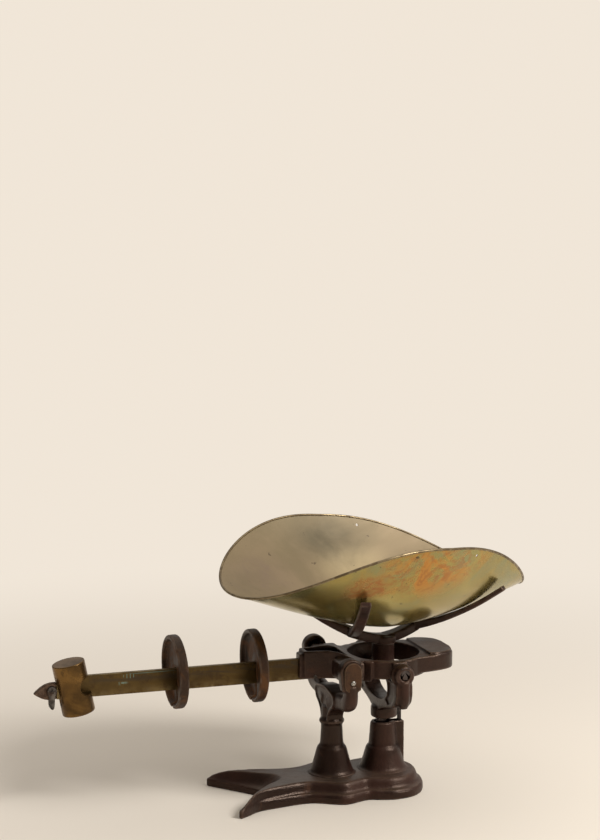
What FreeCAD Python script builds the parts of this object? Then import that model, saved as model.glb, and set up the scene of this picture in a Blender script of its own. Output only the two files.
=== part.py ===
import FreeCAD, Part
import math
import os
from FreeCAD import Vector

# Counter beam scale. Millimetres, +Z up. The origin is on the table, on the axis of the
# fulcrum pillar. +X points to the scoop side, the graduated beam runs out along -X.

# --- linkage ---------------------------------------------------------------
load_x = 65.0            # fulcrum knife to load knife, the short arm of the beam
knife_z = 158.0          # height of the fulcrum and load knife edges
link_z = 10.5            # height of both pins of the check link
knife_edge = 0.6         # radius of the knife edges, centred on the pivot lines
knife_gap = 0.3          # rest clearance between a knife edge and its bearing
pin_radius = 2.0
pin_hole_radius = 2.05   # running fit on the pins

# --- base ------------------------------------------------------------------
band_height = 9.0
plate_height = 25.0
roof_z = 19.0            # roof of the hollow under the base plate

# --- pillars ---------------------------------------------------------------
fork_half_width = 10.5
housing_in = 60.0        # inboard and outboard faces of the fulcrum bearing housings
housing_out = 74.0
housing_radius = 14.5
pillar_top = 82.0
side_pocket_x = 90.5     # outer face of the pocket on the load pillar
screw_offset = 15.0      # pillar screws stand this far from the pillar axis, along Y
screw_radius = 2.95
screw_hole_radius = 3.0

# --- beam ------------------------------------------------------------------
bar_height = 25.4
bar_thickness = 6.0
bar_z = 154.0
bar_left = -335.0
bar_right = -6.0
trough_left = -38.5
ring_top = 168.0
ring_bottom = 146.0
ring_outer = (51.0, 57.0)
ring_inner = (42.0, 48.0)
pad_right = 147.0

# --- sliding weights -------------------------------------------------------
disc_radius = 43.4
disc_thickness = 11.5
disc_lefts = (-199.1, -102.6)
disc_z = 162.5
disc_lean = 1.5
slot_width = 8.0
poise_radius = 19.2
poise_length = 61.0
poise_x = -314.6
poise_drop = 0.4         # the poise's middle sits this far under the bar's
poise_lean = 11.5
poise_slot_height = 35.4
poise_slot_width = 8.0
notch_radius = 10.2
notch_inset = 4.2

# --- carrier, spider and scoop --------------------------------------------
ear_in = 62.0
ear_out = 77.0
ear_radius = 12.5
ear_z = 154.0
boss_radius = 16.0
boss_bottom = 87.2
boss_top = 102.0
stem_radius = 13.5
hub_z = 182.0
rod_radius = 6.5
rod_x = 63.0
spider_yaw = 20.0
spider_lean = 2.6
root_length = 50.0
arm_tip = (108.0, 92.5)
arm_tip_rise = 71.5
scoop_centre = Vector(51.4, -11.5, 207.2)
scoop_yaw = 16.5
scoop_pitch = 5.6
scoop_length = 205.0     # half length
scoop_width = 134.0      # half width at the middle
scoop_taper = 0.187      # the pouring end is narrower
scoop_side = 110.4       # rise of the sides
scoop_end = 40.0         # rise of the ends
scoop_belly = 5.0        # extra depth in the middle
scoop_gauge = 1.0
rim_bead = 3.2

os.makedirs("parts", exist_ok=True)


def save(name, shape):
    """Write one node and report its volume."""
    if not shape.isValid():
        raise ValueError(name + " is not a valid solid")
    shape.exportStep("parts/" + name + ".step")
    print(name, "solids", len(shape.Solids), "volume", round(shape.Volume))


def block(x0, x1, y0, y1, z0, z1):
    return Part.makeBox(x1 - x0, y1 - y0, z1 - z0, Vector(x0, y0, z0))


def rod(radius, start, direction, length):
    return Part.makeCylinder(radius, length, Vector(*start), Vector(*direction))


def mirror_y(shape):
    return shape.mirror(Vector(0, 0, 0), Vector(0, 1, 0))


def both_sides(shape):
    return shape.fuse(mirror_y(shape))


def prism_z(points, z0, z1):
    """Upright prism on a closed XY polygon."""
    wire = Part.makePolygon([Vector(x, y, z0) for x, y in points + points[:1]])
    return Part.Face(wire).extrude(Vector(0, 0, z1 - z0))


def prism_x(points, x0, x1):
    """Prism along X on a closed YZ polygon."""
    wire = Part.makePolygon([Vector(x0, y, z) for y, z in points + points[:1]])
    return Part.Face(wire).extrude(Vector(x1 - x0, 0, 0))


def prism_y(points, y0, y1):
    """Prism along Y on a closed XZ polygon."""
    wire = Part.makePolygon([Vector(x, y0, z) for x, z in points + points[:1]])
    return Part.Face(wire).extrude(Vector(0, y1 - y0, 0))


def turned(profile, x=0.0):
    """Solid turned about a vertical axis from (radius, z) points."""
    points = [Vector(x + r, 0, z) for r, z in profile]
    wire = Part.makePolygon(points + points[:1])
    return Part.Face(wire).revolve(Vector(x, 0, 0), Vector(0, 0, 1), 360)


def spline_edge(points, z):
    curve = Part.BSplineCurve()
    curve.interpolate([Vector(x, y, z) for x, y in points])
    return curve.toShape()


def ellipse_prism(centre_x, semi, z0, z1):
    """Upright elliptic cylinder, semi = (half size in X, half size in Y)."""
    long_y = semi[1] > semi[0]
    major, minor = max(semi), min(semi)
    ellipse = Part.Ellipse(Vector(centre_x, 0, z0), major, minor)
    wire = Part.Wire([ellipse.toShape()])
    if long_y:
        wire.rotate(Vector(centre_x, 0, z0), Vector(0, 0, 1), 90)
    return Part.Face(wire).extrude(Vector(0, 0, z1 - z0))


# --- base ------------------------------------------------------------------
# Half outlines of the fishtail base on the -Y side, from the right end to the foot tip,
# then from the foot tip back to the notch between the feet.
foot_side = [(113, 0), (105, -31), (87, -51), (62, -57.5), (42, -53), (30, -49), (17, -53.5),
             (3, -58.5), (-9, -56.5), (-25, -47), (-38, -41), (-54, -41), (-80, -46), (-106, -52.5),
             (-133, -71.5)]
foot_notch = [(-136.5, -68), (-120, -47), (-103, -28), (-88, 0)]
plate_side = [(103, 0), (96, -25), (82, -41), (62, -47), (43, -43.5), (30, -40.5), (18, -44),
              (3, -48.5), (-8, -46.5), (-22, -39), (-36, -33.5), (-54, -33), (-80, -39), (-104, -47),
              (-128, -67)]
plate_notch = [(-130, -68.5), (-112, -50), (-88, -27), (-62, 0)]
foot_fall = [(-98, 26), (-104, 23.5), (-114, 21.5), (-122, 18), (-130, 12.5), (-142, 10), (-142, 26)]


def base_wire(side, notch, z):
    def flip(points):
        return [(x, -y) for x, y in reversed(points)]
    tip = [side[-1], notch[0]]
    edges = [spline_edge(side, z), spline_edge(tip, z), spline_edge(notch, z)]
    edges += [spline_edge(flip(notch), z), spline_edge(flip(tip), z), spline_edge(flip(side), z)]
    return Part.Wire(edges)


def make_base():
    band = Part.Face(base_wire(foot_side, foot_notch, 0)).extrude(Vector(0, 0, band_height))
    shoulder = [base_wire(foot_side, foot_notch, band_height),
                base_wire(plate_side, plate_notch, plate_height)]
    body = band.fuse(Part.makeLoft(shoulder, True, True))
    body = body.cut(prism_y(foot_fall, -90, 90))
    hollow = block(-48, 92, -27, 27, 0, roof_z)
    body = body.cut(hollow)
    lug = block(-8, 8, 3.5, 9.5, 0, roof_z + 1)
    lug_foot = block(-8, 8, -9.5, 9.5, 0, 4.5)
    body = body.fuse(both_sides(lug)).fuse(lug_foot)
    body = body.cut(rod(pin_hole_radius, (0, -10, link_z), (0, 1, 0), 20))
    body = body.cut(rod(10.5, (load_x, 0, roof_z - 1), (0, 0, 1), 8))
    for x in (0, load_x):
        for y in (-screw_offset, screw_offset):
            body = body.cut(rod(screw_hole_radius, (x, y, roof_z - 1), (0, 0, 1), 8))
    return body.removeSplitter()


save("base", make_base())


# --- fulcrum pillar --------------------------------------------------------
def housing_profile(radius, top, bottom):
    """Arch section of a bearing housing: a half disc on a straight-sided foot."""
    steps = 12
    arc = []
    for i in range(steps + 1):
        angle = math.pi * i / steps
        arc.append((radius * math.cos(angle), top - radius + radius * math.sin(angle)))
    return arc + [(-radius, bottom), (radius, bottom)]


def make_fulcrum_pillar():
    column = turned([(0, 25), (26, 25), (24.5, 29), (23, 33), (21, 43), (18, 52), (15, 57), (13.8, 60),
                     (12.6, 84), (15, 86.5), (15, 90), (12.2, 93), (12.2, 104), (0, 104)])
    under = [(-76, 146), (-76, 130), (-72, 121), (-66, 115), (-59, 112.5), (-30, 106), (-11, 98)]
    over = [(11, 98), (30, 106), (59, 112.5), (66, 115), (72, 121), (76, 130), (76, 146)]
    inside = [(57, 146), (56, 138), (52, 132), (45, 128), (20, 127), (0, 131)]
    inside += [(-20, 127), (-45, 128), (-52, 132), (-56, 138), (-57, 146)]
    fork = prism_x(under + over + inside, -fork_half_width, fork_half_width)
    shell = prism_y(housing_profile(housing_radius, 178.5, 140), housing_in, housing_out)
    cavity = prism_y(housing_profile(9.6, 173.0, 147), housing_in - 1, housing_out + 1)
    body = column.fuse(fork).fuse(both_sides(shell)).cut(both_sides(cavity))
    for y in (-screw_offset, screw_offset):
        body = body.cut(rod(screw_hole_radius, (0, y, 24), (0, 0, 1), 14))
    # flat outboard faces of the fork stop at the housings' outboard faces
    body = body.cut(both_sides(block(-20, 20, housing_out, 80, 139, 150)))
    return body.removeSplitter()


save("fulcrum_pillar", make_fulcrum_pillar())


def make_fulcrum_bearing():
    seat = block(-9.5, 9.5, housing_in + 1, housing_out, 147, 161)
    groove = prism_y([(0, knife_z - 1.3), (7, 162), (-7, 162)], housing_in, housing_out + 1)
    groove = groove.fuse(rod(knife_edge + knife_gap, (0, housing_in, knife_z), (0, 1, 0), 15))
    screw_hole = rod(1.7, (0, housing_out + 1, 151.5), (0, -1, 0), 9)
    return seat.cut(groove).cut(screw_hole)


def make_bearing_cap():
    plate = prism_y(housing_profile(10.8, 175.5, 146), housing_out, housing_out + 3.2)
    heel = prism_y([(-10.8, 146), (10.8, 146), (7, 140), (-7, 140)], housing_out, housing_out + 3.2)
    return plate.fuse(heel).removeSplitter().cut(rod(1.7, (0, housing_out - 1, 151.5), (0, 1, 0), 6))


def make_cap_screw():
    head = rod(3.0, (0, housing_out + 3.2, 151.5), (0, 1, 0), 1.6)
    shank = rod(1.6, (0, housing_out - 6, 151.5), (0, 1, 0), 9.2)
    slot = block(-3.5, 3.5, housing_out + 4.1, housing_out + 6, 151.1, 151.9)
    return head.fuse(shank).cut(slot)


save("fulcrum_bearing_far", make_fulcrum_bearing())
save("fulcrum_bearing_near", mirror_y(make_fulcrum_bearing()))
save("bearing_cap_far", make_bearing_cap())
save("bearing_cap_near", mirror_y(make_bearing_cap()))
save("cap_screws", Part.makeCompound([make_cap_screw(), mirror_y(make_cap_screw())]))


# --- load pillar, hollow for the check rod ---------------------------------
def make_load_pillar():
    outer = turned([(0, 25), (27, 25), (25.6, 29), (24, 35), (21.5, 44), (19.6, 49), (17.6, 52),
                    (16.8, 55), (14.8, pillar_top - 1), (13.8, pillar_top), (0, pillar_top)], load_x)
    pocket = block(load_x, side_pocket_x, -7, 7, 25, pillar_top)
    body = outer.fuse(pocket)
    bore = rod(10.2, (load_x, 0, 24), (0, 0, 1), 80)
    slot = block(load_x, side_pocket_x - 1.9, -4.4, 4.4, 36, pillar_top + 1)
    body = body.cut(bore).cut(slot)
    for y in (-screw_offset, screw_offset):
        body = body.cut(rod(screw_hole_radius, (load_x, y, 24), (0, 0, 1), 14))
    return body.removeSplitter()


save("load_pillar", make_load_pillar())


def make_pillar_screw(x, y):
    head = rod(4.8, (x, y, roof_z - 4), (0, 0, 1), 4)
    shank = rod(screw_radius, (x, y, roof_z - 1), (0, 0, 1), 17)
    slot = block(x - 5, x + 5, y - 0.7, y + 0.7, roof_z - 5, roof_z - 2.6)
    return head.fuse(shank).cut(slot)


screws = [make_pillar_screw(x, y) for x in (0, load_x) for y in (-screw_offset, screw_offset)]
save("pillar_screws", Part.makeCompound(screws))

# --- check link ------------------------------------------------------------
def make_check_link():
    body = block(0, load_x, -2.5, 2.5, link_z - 3.5, link_z + 3.5)
    for x in (0, load_x):
        body = body.fuse(rod(5.0, (x, -2.5, link_z), (0, 1, 0), 5))
    for x in (0, load_x):
        body = body.cut(rod(pin_hole_radius, (x, -3, link_z), (0, 1, 0), 6))
    return body.removeSplitter()


save("check_link", make_check_link())
save("link_pin_fixed", rod(pin_radius, (0, -10.5, link_z), (0, 1, 0), 21))
save("link_pin_moving", rod(pin_radius, (load_x, -8.0, link_z), (0, 1, 0), 16))


# --- beam casting: trough, ring and counterweight pad -----------------------
def make_beam_casting():
    trough_plan = [(trough_left, -11), (-12, -15), (4, -24), (22, -40), (22, 40), (4, 24), (-12, 15),
                   (trough_left, 11)]
    body = prism_z(trough_plan, 143, 177)
    ring = ellipse_prism(load_x, ring_outer, ring_bottom, ring_top)
    body = body.fuse(ring)
    pad_plan = [(90, -49), (118, -42.5), (136, -37), (143.5, -29), (pad_right, -15), (pad_right, 15),
                (143.5, 29), (136, 37), (118, 42.5), (90, 49)]
    body = body.fuse(prism_z(pad_plan, 148, 169))
    boss_plan = [(111, -42), (118, -42), (134, -37), (142.5, -29), (145.8, -15), (145.8, 15), (142.5, 29),
                 (134, 37), (118, 42), (111, 42)]
    body = body.fuse(prism_z(boss_plan, 168, 171.6))
    slope = prism_y([(-6, 178), (-6, 177), (26, ring_top), (26, 178)], -50, 50)
    body = body.cut(slope)
    knife_boss = block(-8.5, 24, 20, 55.5, 147.5, 169.5)
    body = body.fuse(both_sides(knife_boss))
    load_boss = block(load_x - 9, load_x + 9, 50, 60.5, 147, 167.5)
    body = body.fuse(both_sides(load_boss))
    cavity_plan = [(-31, -7.5), (-12, -11), (4, -18), (11, -20), (11, 20), (4, 18), (-12, 11), (-31, 7.5)]
    body = body.cut(prism_z(cavity_plan, 150.5, 178))
    body = body.cut(ellipse_prism(load_x, ring_inner, 140, 180))
    lip = block(trough_left - 4.5, trough_left, -8, 8, 143, 173.3)
    body = body.fuse(lip)
    half_bar = bar_thickness / 2
    bar_room = block(-60, bar_right, -half_bar, half_bar, bar_z - bar_height / 2, bar_z + bar_height / 2)
    body = body.cut(bar_room)
    for x in (-25.0, -12.0):
        body = body.cut(rod(2.0, (x, -20, 146.0), (0, 1, 0), 40))
    knife_room = prism_y(fulcrum_knife_section, 46, 57)
    body = body.cut(both_sides(knife_room))
    load_room = prism_y(load_knife_section, 52, 62)
    body = body.cut(both_sides(load_room))
    return body.removeSplitter()


# Knife sections in XZ: the fulcrum edge points down, the load edge points up. Each flank
# runs down to the side of the round edge, which is added as a rod on the pivot line.
fulcrum_knife_section = [(-0.52, knife_z - 0.3), (0.52, knife_z - 0.3), (3.4, knife_z + 5),
                         (3.4, knife_z + 9), (-3.4, knife_z + 9), (-3.4, knife_z + 5)]
load_knife_section = [(load_x + 0.52, knife_z + 0.3), (load_x - 0.52, knife_z + 0.3),
                      (load_x - 3.0, knife_z - 5), (load_x - 3.0, knife_z - 8),
                      (load_x + 3.0, knife_z - 8), (load_x + 3.0, knife_z - 5)]

save("beam_casting", make_beam_casting())

fulcrum_knife = prism_y(fulcrum_knife_section, 46, 72.5)
fulcrum_knife = fulcrum_knife.fuse(rod(knife_edge, (0, 46, knife_z), (0, 1, 0), 26.5))
load_knife = prism_y(load_knife_section, 52, 75.5)
load_knife = load_knife.fuse(rod(knife_edge, (load_x, 52, knife_z), (0, 1, 0), 23.5))
save("fulcrum_knives", Part.makeCompound([fulcrum_knife, mirror_y(fulcrum_knife)]))
save("load_knives", Part.makeCompound([load_knife, mirror_y(load_knife)]))


def make_beam_bar():
    half_height = bar_height / 2
    half_bar = bar_thickness / 2
    bar = block(bar_left, bar_right, -half_bar, half_bar, bar_z - half_height, bar_z + half_height)
    for x in (-25.0, -12.0):
        bar = bar.cut(rod(2.0, (x, -20, 146.0), (0, 1, 0), 40))
    return bar


save("beam_bar", make_beam_bar())


def make_bar_rivet(x):
    reach = 13.5 + (x + 25.0) * 0.1
    return rod(2.0, (x, -reach, 146.0), (0, 1, 0), 2 * reach)


save("bar_rivets", Part.makeCompound([make_bar_rivet(x) for x in (-25.0, -12.0)]))

# --- beam tip with its stirrup ----------------------------------------------
tip_pin = Vector(-340.6, 0, 151.5)


def make_beam_tip():
    leaf = prism_y([(-362, 149.0), (-353, 156.8), (-344, 161.2), (bar_left, 161.6), (bar_left, 141.3),
                    (-347, 141.0), (-354, 144.0)], -3.0, 3.0)
    return leaf.cut(rod(pin_radius + 0.02, (tip_pin.x, -5, tip_pin.z), (0, 1, 0), 10))


def make_stirrup():
    """Two eyes on the pin, joined by a bridge under the bar."""
    def cheek(y0, y1):
        eye = rod(6.2, (tip_pin.x, y0, tip_pin.z), (0, 1, 0), y1 - y0)
        strap = prism_y([(tip_pin.x - 3.6, tip_pin.z - 3), (tip_pin.x + 3.6, tip_pin.z - 3),
                         (tip_pin.x + 2.6, tip_pin.z - 20), (tip_pin.x - 2.6, tip_pin.z - 20)], y0, y1)
        return eye.fuse(strap)
    body = cheek(-6.0, -3.6).fuse(cheek(3.6, 6.0))
    bridge = rod(2.6, (tip_pin.x, -6.0, tip_pin.z - 19.5), (0, 1, 0), 12)
    body = body.fuse(bridge)
    return body.cut(rod(pin_hole_radius, (tip_pin.x, -8, tip_pin.z), (0, 1, 0), 16)).removeSplitter()


save("beam_tip", make_beam_tip())
save("stirrup", make_stirrup())
save("stirrup_pin", rod(pin_radius, (tip_pin.x, -7.0, tip_pin.z), (0, 1, 0), 14))


# --- sliding weights --------------------------------------------------------
def make_disc(left):
    """Slotted cast weight, hung on the bar through a slot open at the bottom."""
    body = rod(disc_radius, (left, 0, disc_z), (1, 0, 0), disc_thickness)
    recess = rod(disc_radius - 5.0, (left - 1, 0, disc_z), (1, 0, 0), 7.0)
    body = body.cut(recess)
    slot_top = bar_z + bar_height / 2 + 0.35
    half_slot = slot_width / 2
    slot = block(left - 2, left + disc_thickness + 2, -half_slot, half_slot, disc_z - 60, slot_top)
    body = body.cut(slot)
    body.rotate(Vector(left + disc_thickness / 2, 0, slot_top), Vector(0, 1, 0), -disc_lean)
    return body.removeSplitter()


for name, left in zip(("disc_weight_outer", "disc_weight_inner"), disc_lefts):
    save(name, make_disc(left))


def make_poise():
    """Leaning brass drum with a slot for the bar and a round sight notch."""
    half = poise_length / 2
    body = rod(poise_radius, (0, 0, -half), (0, 0, 1), poise_length)
    edges = [edge for edge in body.Edges if edge.Curve.TypeId == "Part::GeomCircle"]
    body = body.makeChamfer(0.6, edges)
    half_slot = poise_slot_height / 2
    body = body.cut(block(-30, 30, -poise_slot_width / 2, poise_slot_width / 2, -half_slot, half_slot))
    body = body.cut(rod(notch_radius, (poise_radius - notch_inset, -30, 0), (0, 1, 0), 60))
    body.rotate(Vector(0, 0, 0), Vector(0, 1, 0), -poise_lean)
    body.translate(Vector(poise_x, 0, bar_z - poise_drop))
    return body.removeSplitter()


save("poise", make_poise())


# --- carrier: hangs on the load knives ---------------------------------------
def make_carrier():
    boss = rod(boss_radius, (load_x + 1.5, 0, boss_bottom), (0, 0, 1), boss_top - boss_bottom)
    under = [(-77, 148), (-77, 130), (-73, 121), (-66, 115.5), (-58, 112.5), (-30, 105), (-14, 99)]
    over = [(14, 99), (30, 105), (58, 112.5), (66, 115.5), (73, 121), (77, 130), (77, 148)]
    inside = [(62, 148), (62, 144.4), (46, 144.4), (40, 150), (12, 152)]
    inside += [(-12, 152), (-40, 150), (-46, 144.4), (-62, 144.4), (-62, 148)]
    yoke = prism_x(under + over + inside, load_x - 10.5, load_x + 10.5)
    window = [(-41, 125), (-41, 137), (-35, 143), (35, 143), (41, 137), (41, 125), (30, 118), (10, 113)]
    window += [(-10, 113), (-30, 118)]
    yoke = yoke.cut(prism_x(window, load_x - 12, load_x + 12))
    stem = rod(stem_radius, (load_x, 0, 147), (0, 0, 1), hub_z - 147)
    ear = rod(ear_radius, (load_x, ear_in, ear_z), (0, 1, 0), ear_out - ear_in)
    eye = block(load_x - 5, load_x + 5, ear_in - 1, ear_out + 1, 147, 164)
    body = boss.fuse(yoke).fuse(stem).fuse(both_sides(ear)).cut(both_sides(eye))
    body = body.cut(rod(rod_radius + 0.05, (rod_x, 0, boss_bottom - 1), (0, 0, 1), 13))
    return body.removeSplitter()


save("carrier", make_carrier())


def make_load_bearing():
    """Steel block in an ear. Its inverted groove rests on the load knife."""
    seat = block(load_x - 5, load_x + 5, ear_in, ear_out - 0.5, 155.2, 164)
    groove = [(load_x, knife_z + 1.3), (load_x - 4.4, 155), (load_x + 4.4, 155)]
    groove = prism_y(groove, ear_in - 1, ear_out)
    groove = groove.fuse(rod(knife_edge + knife_gap, (load_x, ear_in - 1, knife_z), (0, 1, 0), 16))
    return seat.cut(groove)


save("load_bearing_far", make_load_bearing())
save("load_bearing_near", mirror_y(make_load_bearing()))


def make_check_rod():
    shaft = rod(rod_radius, (rod_x, 0, 21), (0, 0, 1), boss_bottom + 12 - 21)
    crown = block(load_x - 6, load_x + 5, -6.5, 6.5, 20, 27)
    cheek = block(load_x - 5, load_x + 5, 3.0, 6.5, 5.5, 27)
    body = shaft.fuse(crown).fuse(both_sides(cheek))
    return body.cut(rod(pin_radius + 0.02, (load_x, -8, link_z), (0, 1, 0), 16)).removeSplitter()


def make_guide_bar():
    blade = block(84, 88, -2.5, 2.5, 42, 109)
    foot = block(load_x + 10.5, 88, -2.5, 2.5, 103.5, 109)
    return blade.fuse(foot).removeSplitter()


save("check_rod", make_check_rod())
save("guide_bar", make_guide_bar())


# --- spider -------------------------------------------------------------------
def arm_sections(path, widths, depths):
    """Rectangles square to a path in plan, upright."""
    wires = []
    for i, point in enumerate(path):
        before = path[max(i - 1, 0)]
        after = path[min(i + 1, len(path) - 1)]
        along = Vector(after.x - before.x, after.y - before.y, 0).normalize()
        across = Vector(-along.y, along.x, 0) * (widths[i] / 2)
        up = Vector(0, 0, depths[i] / 2)
        corners = [point - across - up, point + across - up, point + across + up, point - across + up]
        wires.append(Part.makePolygon(corners + corners[:1]))
    return Part.makeLoft(wires, True, True)


def make_spider():
    body = rod(15.0, (0, 0, -3), (0, 0, 1), 10)
    for side in (-1, 1):
        root = [Vector(0, 0, 3.5), Vector(side * 20, 0, 5.5), Vector(side * root_length, 0, 14.5)]
        body = body.fuse(arm_sections(root, [18, 16, 14], [9, 12, 12]))
        for near in (-1, 1):
            arm = []
            for t in (0.0, 0.25, 0.5, 0.75, 1.0):
                x = side * (root_length - 3 + (arm_tip[0] - root_length + 3) * t)
                y = near * arm_tip[1] * t
                rise = 14.5 + (arm_tip_rise - 14.5) * (0.45 * t + 0.55 * t * t)
                arm.append(Vector(x, y, rise))
            body = body.fuse(arm_sections(arm, [14, 13.5, 13, 13, 13], [12, 8.4, 6.6, 6.2, 6.2]))
    body = body.removeSplitter()
    body.rotate(Vector(0, 0, 0), Vector(0, 0, 1), spider_yaw)
    body.rotate(Vector(0, 0, 0), Vector(0, 1, 0), spider_lean)
    body.translate(Vector(load_x, 0, hub_z - 1.3))
    return body.cut(rod(stem_radius + 3, (load_x, 0, hub_z - 10), (0, 0, 1), 10))


save("spider", make_spider())


# --- scoop ----------------------------------------------------------------------
def scoop_height(u, w):
    """Height of the sheet's underside over its lowest point, u and w in half sizes."""
    rise = scoop_side * abs(w) ** 2.135 + scoop_end * abs(u) ** 1.5 * (1 + 0.106 * u)
    return rise - scoop_belly * (1 - u * u - w * w) ** 2


def scoop_point(u, w):
    return Vector(scoop_length * u, scoop_width * w * (1 - scoop_taper * u), scoop_height(u, w))


def scoop_sheet(lift, reach=1.03, count=29):
    """Spline face parallel to the underside, lift mm further in."""
    rows = []
    for i in range(count):
        u = -reach + 2 * reach * i / (count - 1)
        row = []
        for j in range(count):
            w = -reach + 2 * reach * j / (count - 1)
            du = scoop_point(u + 1e-4, w) - scoop_point(u - 1e-4, w)
            dw = scoop_point(u, w + 1e-4) - scoop_point(u, w - 1e-4)
            row.append(scoop_point(u, w) + du.cross(dw).normalize() * lift)
        rows.append(row)
    surface = Part.BSplineSurface()
    surface.interpolate(rows)
    return surface.toShape()


def scoop_plug(inset):
    """Upright plug with the scoop's egg-shaped plan, inset from its edge."""
    points = []
    for i in range(72):
        angle = 2 * math.pi * i / 72
        u = math.cos(angle)
        w = math.sin(angle)
        edge = scoop_point(u, w)
        ahead = scoop_point(math.cos(angle + 1e-3), math.sin(angle + 1e-3)) - edge
        inward = Vector(-ahead.y, ahead.x, 0).normalize() * inset
        points.append(Vector(edge.x + inward.x, edge.y + inward.y, -30))
    curve = Part.BSplineCurve()
    curve.interpolate(points, PeriodicFlag=True)
    return Part.Face(Part.Wire([curve.toShape()])).extrude(Vector(0, 0, 260))


def between(lower, upper, plug):
    tall = Vector(0, 0, 300)
    return lower.extrude(tall).cut(upper.extrude(tall)).common(plug)


def place_scoop(shape):
    shape.rotate(Vector(0, 0, 0), Vector(0, 1, 0), scoop_pitch)
    shape.rotate(Vector(0, 0, 0), Vector(0, 0, 1), scoop_yaw)
    shape.translate(scoop_centre)
    return shape


full_plug = scoop_plug(0.0)
inner_plug = scoop_plug(rim_bead)
sheet = between(scoop_sheet(0.0), scoop_sheet(scoop_gauge), scoop_plug(rim_bead + 0.05))
hole_u = 0.235
for side in (-1, 1):
    hole = scoop_point(hole_u, side * 0.925)
    sheet = sheet.cut(rod(1.6, (hole.x, hole.y - side * 12, hole.z), (0, side, 0.25), 30))
bead = between(scoop_sheet(-1.1), scoop_sheet(scoop_gauge + 1.1), full_plug.cut(inner_plug))
save("scoop", place_scoop(sheet))
save("scoop_rim", place_scoop(bead))
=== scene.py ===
import bmesh
import bpy
import math
from mathutils import Matrix, Vector
from mathutils.geometry import interpolate_bezier


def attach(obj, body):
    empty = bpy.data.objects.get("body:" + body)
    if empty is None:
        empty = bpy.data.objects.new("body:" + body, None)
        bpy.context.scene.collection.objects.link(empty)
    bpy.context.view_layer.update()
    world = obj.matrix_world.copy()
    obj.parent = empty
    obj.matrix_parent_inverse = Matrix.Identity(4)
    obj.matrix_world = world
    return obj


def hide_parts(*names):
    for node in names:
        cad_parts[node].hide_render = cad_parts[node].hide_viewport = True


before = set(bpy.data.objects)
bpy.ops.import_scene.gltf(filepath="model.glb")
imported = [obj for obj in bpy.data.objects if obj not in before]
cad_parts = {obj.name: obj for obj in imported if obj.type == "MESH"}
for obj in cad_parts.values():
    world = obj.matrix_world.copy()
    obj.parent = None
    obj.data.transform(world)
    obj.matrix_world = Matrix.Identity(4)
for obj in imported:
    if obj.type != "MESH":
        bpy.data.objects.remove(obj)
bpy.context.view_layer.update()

print("frame loaded:", len(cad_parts), "nodes")

# Everything below is drawn in millimetres and brought to metres when a piece is finished.

studio = {
    "cameraPlace": (-0.8857545, -2.5682635, 0.8313754), "cameraTurn": (82.018, 0, -18.228), "lens": 100,
    "keyPlace": (1.45, -1.4, 1.8), "keySize": 0.75, "keyWatts": 51,
    "fillPlace": (-1.7, -2.1, 1.5), "fillSize": 1.8, "fillWatts": 1.2, "lampColour": (1, 0.975, 0.94),
    "lampTarget": (0, 0, 0.1), "ambient": 0.72, "brightWay": (0.30, 0.22, 0.93),
    "roomDark": (0.070, 0.056, 0.045), "roomBright": (1.12, 1.06, 0.98), "roomRamp": (0.52, 0.98),
    "paper": (0.875, 0.79, 0.685), "floor": (0.84, 0.775, 0.69), "floorFade": (0.3, 1.4),
}


def aimAt(obj, spot):
    obj.rotation_euler = (Vector(spot) - obj.location).to_track_quat("-Z", "Y").to_euler()


def buildStudio():
    cam = bpy.data.objects.new("camera", bpy.data.cameras.new("camera"))
    bpy.context.collection.objects.link(cam)
    cam.location = studio["cameraPlace"]
    cam.rotation_euler = [math.radians(a) for a in studio["cameraTurn"]]
    cam.data.lens = studio["lens"]
    cam.data.sensor_width = 36
    cam.data.clip_end = 60
    bpy.context.scene.camera = cam
    bpy.context.scene.view_settings.view_transform = "Standard"
    for label in ("key", "fill"):
        lamp = bpy.data.objects.new(label + "Lamp", bpy.data.lights.new(label + "Lamp", "AREA"))
        bpy.context.collection.objects.link(lamp)
        lamp.location = studio[label + "Place"]
        lamp.data.size = studio[label + "Size"]
        lamp.data.energy = studio[label + "Watts"]
        lamp.data.color = studio["lampColour"]
        aimAt(lamp, studio["lampTarget"])


def buildWorld():
    world = bpy.data.worlds.new("studioRoom")
    bpy.context.scene.world = world
    world.use_nodes = True
    tree = world.node_tree
    tree.nodes.clear()
    out = tree.nodes.new("ShaderNodeOutputWorld")
    room = tree.nodes.new("ShaderNodeBackground")
    paper = tree.nodes.new("ShaderNodeBackground")
    pick = tree.nodes.new("ShaderNodeMixShader")
    path = tree.nodes.new("ShaderNodeLightPath")
    way = tree.nodes.new("ShaderNodeTexCoord")
    tilt = tree.nodes.new("ShaderNodeVectorMath")
    tilt.operation = "DOT_PRODUCT"
    tilt.inputs[1].default_value = studio["brightWay"]  # brightest overhead and to the right
    shade = tree.nodes.new("ShaderNodeValToRGB")
    shade.color_ramp.interpolation = "EASE"
    for stop, at, colour in zip(shade.color_ramp.elements, studio["roomRamp"], ("roomDark", "roomBright")):
        stop.position = at
        stop.color = (*studio[colour], 1)
    spread = tree.nodes.new("ShaderNodeMapRange")
    spread.inputs["From Min"].default_value = -1
    paper.inputs["Color"].default_value = (*studio["paper"], 1)
    room.inputs["Strength"].default_value = studio["ambient"]
    tree.links.new(way.outputs["Generated"], tilt.inputs[0])
    tree.links.new(tilt.outputs["Value"], spread.inputs["Value"])
    tree.links.new(spread.outputs["Result"], shade.inputs["Fac"])
    tree.links.new(shade.outputs["Color"], room.inputs["Color"])
    tree.links.new(path.outputs["Is Camera Ray"], pick.inputs[0])
    tree.links.new(room.outputs[0], pick.inputs[1])
    tree.links.new(paper.outputs[0], pick.inputs[2])
    tree.links.new(pick.outputs[0], out.inputs[0])


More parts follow.
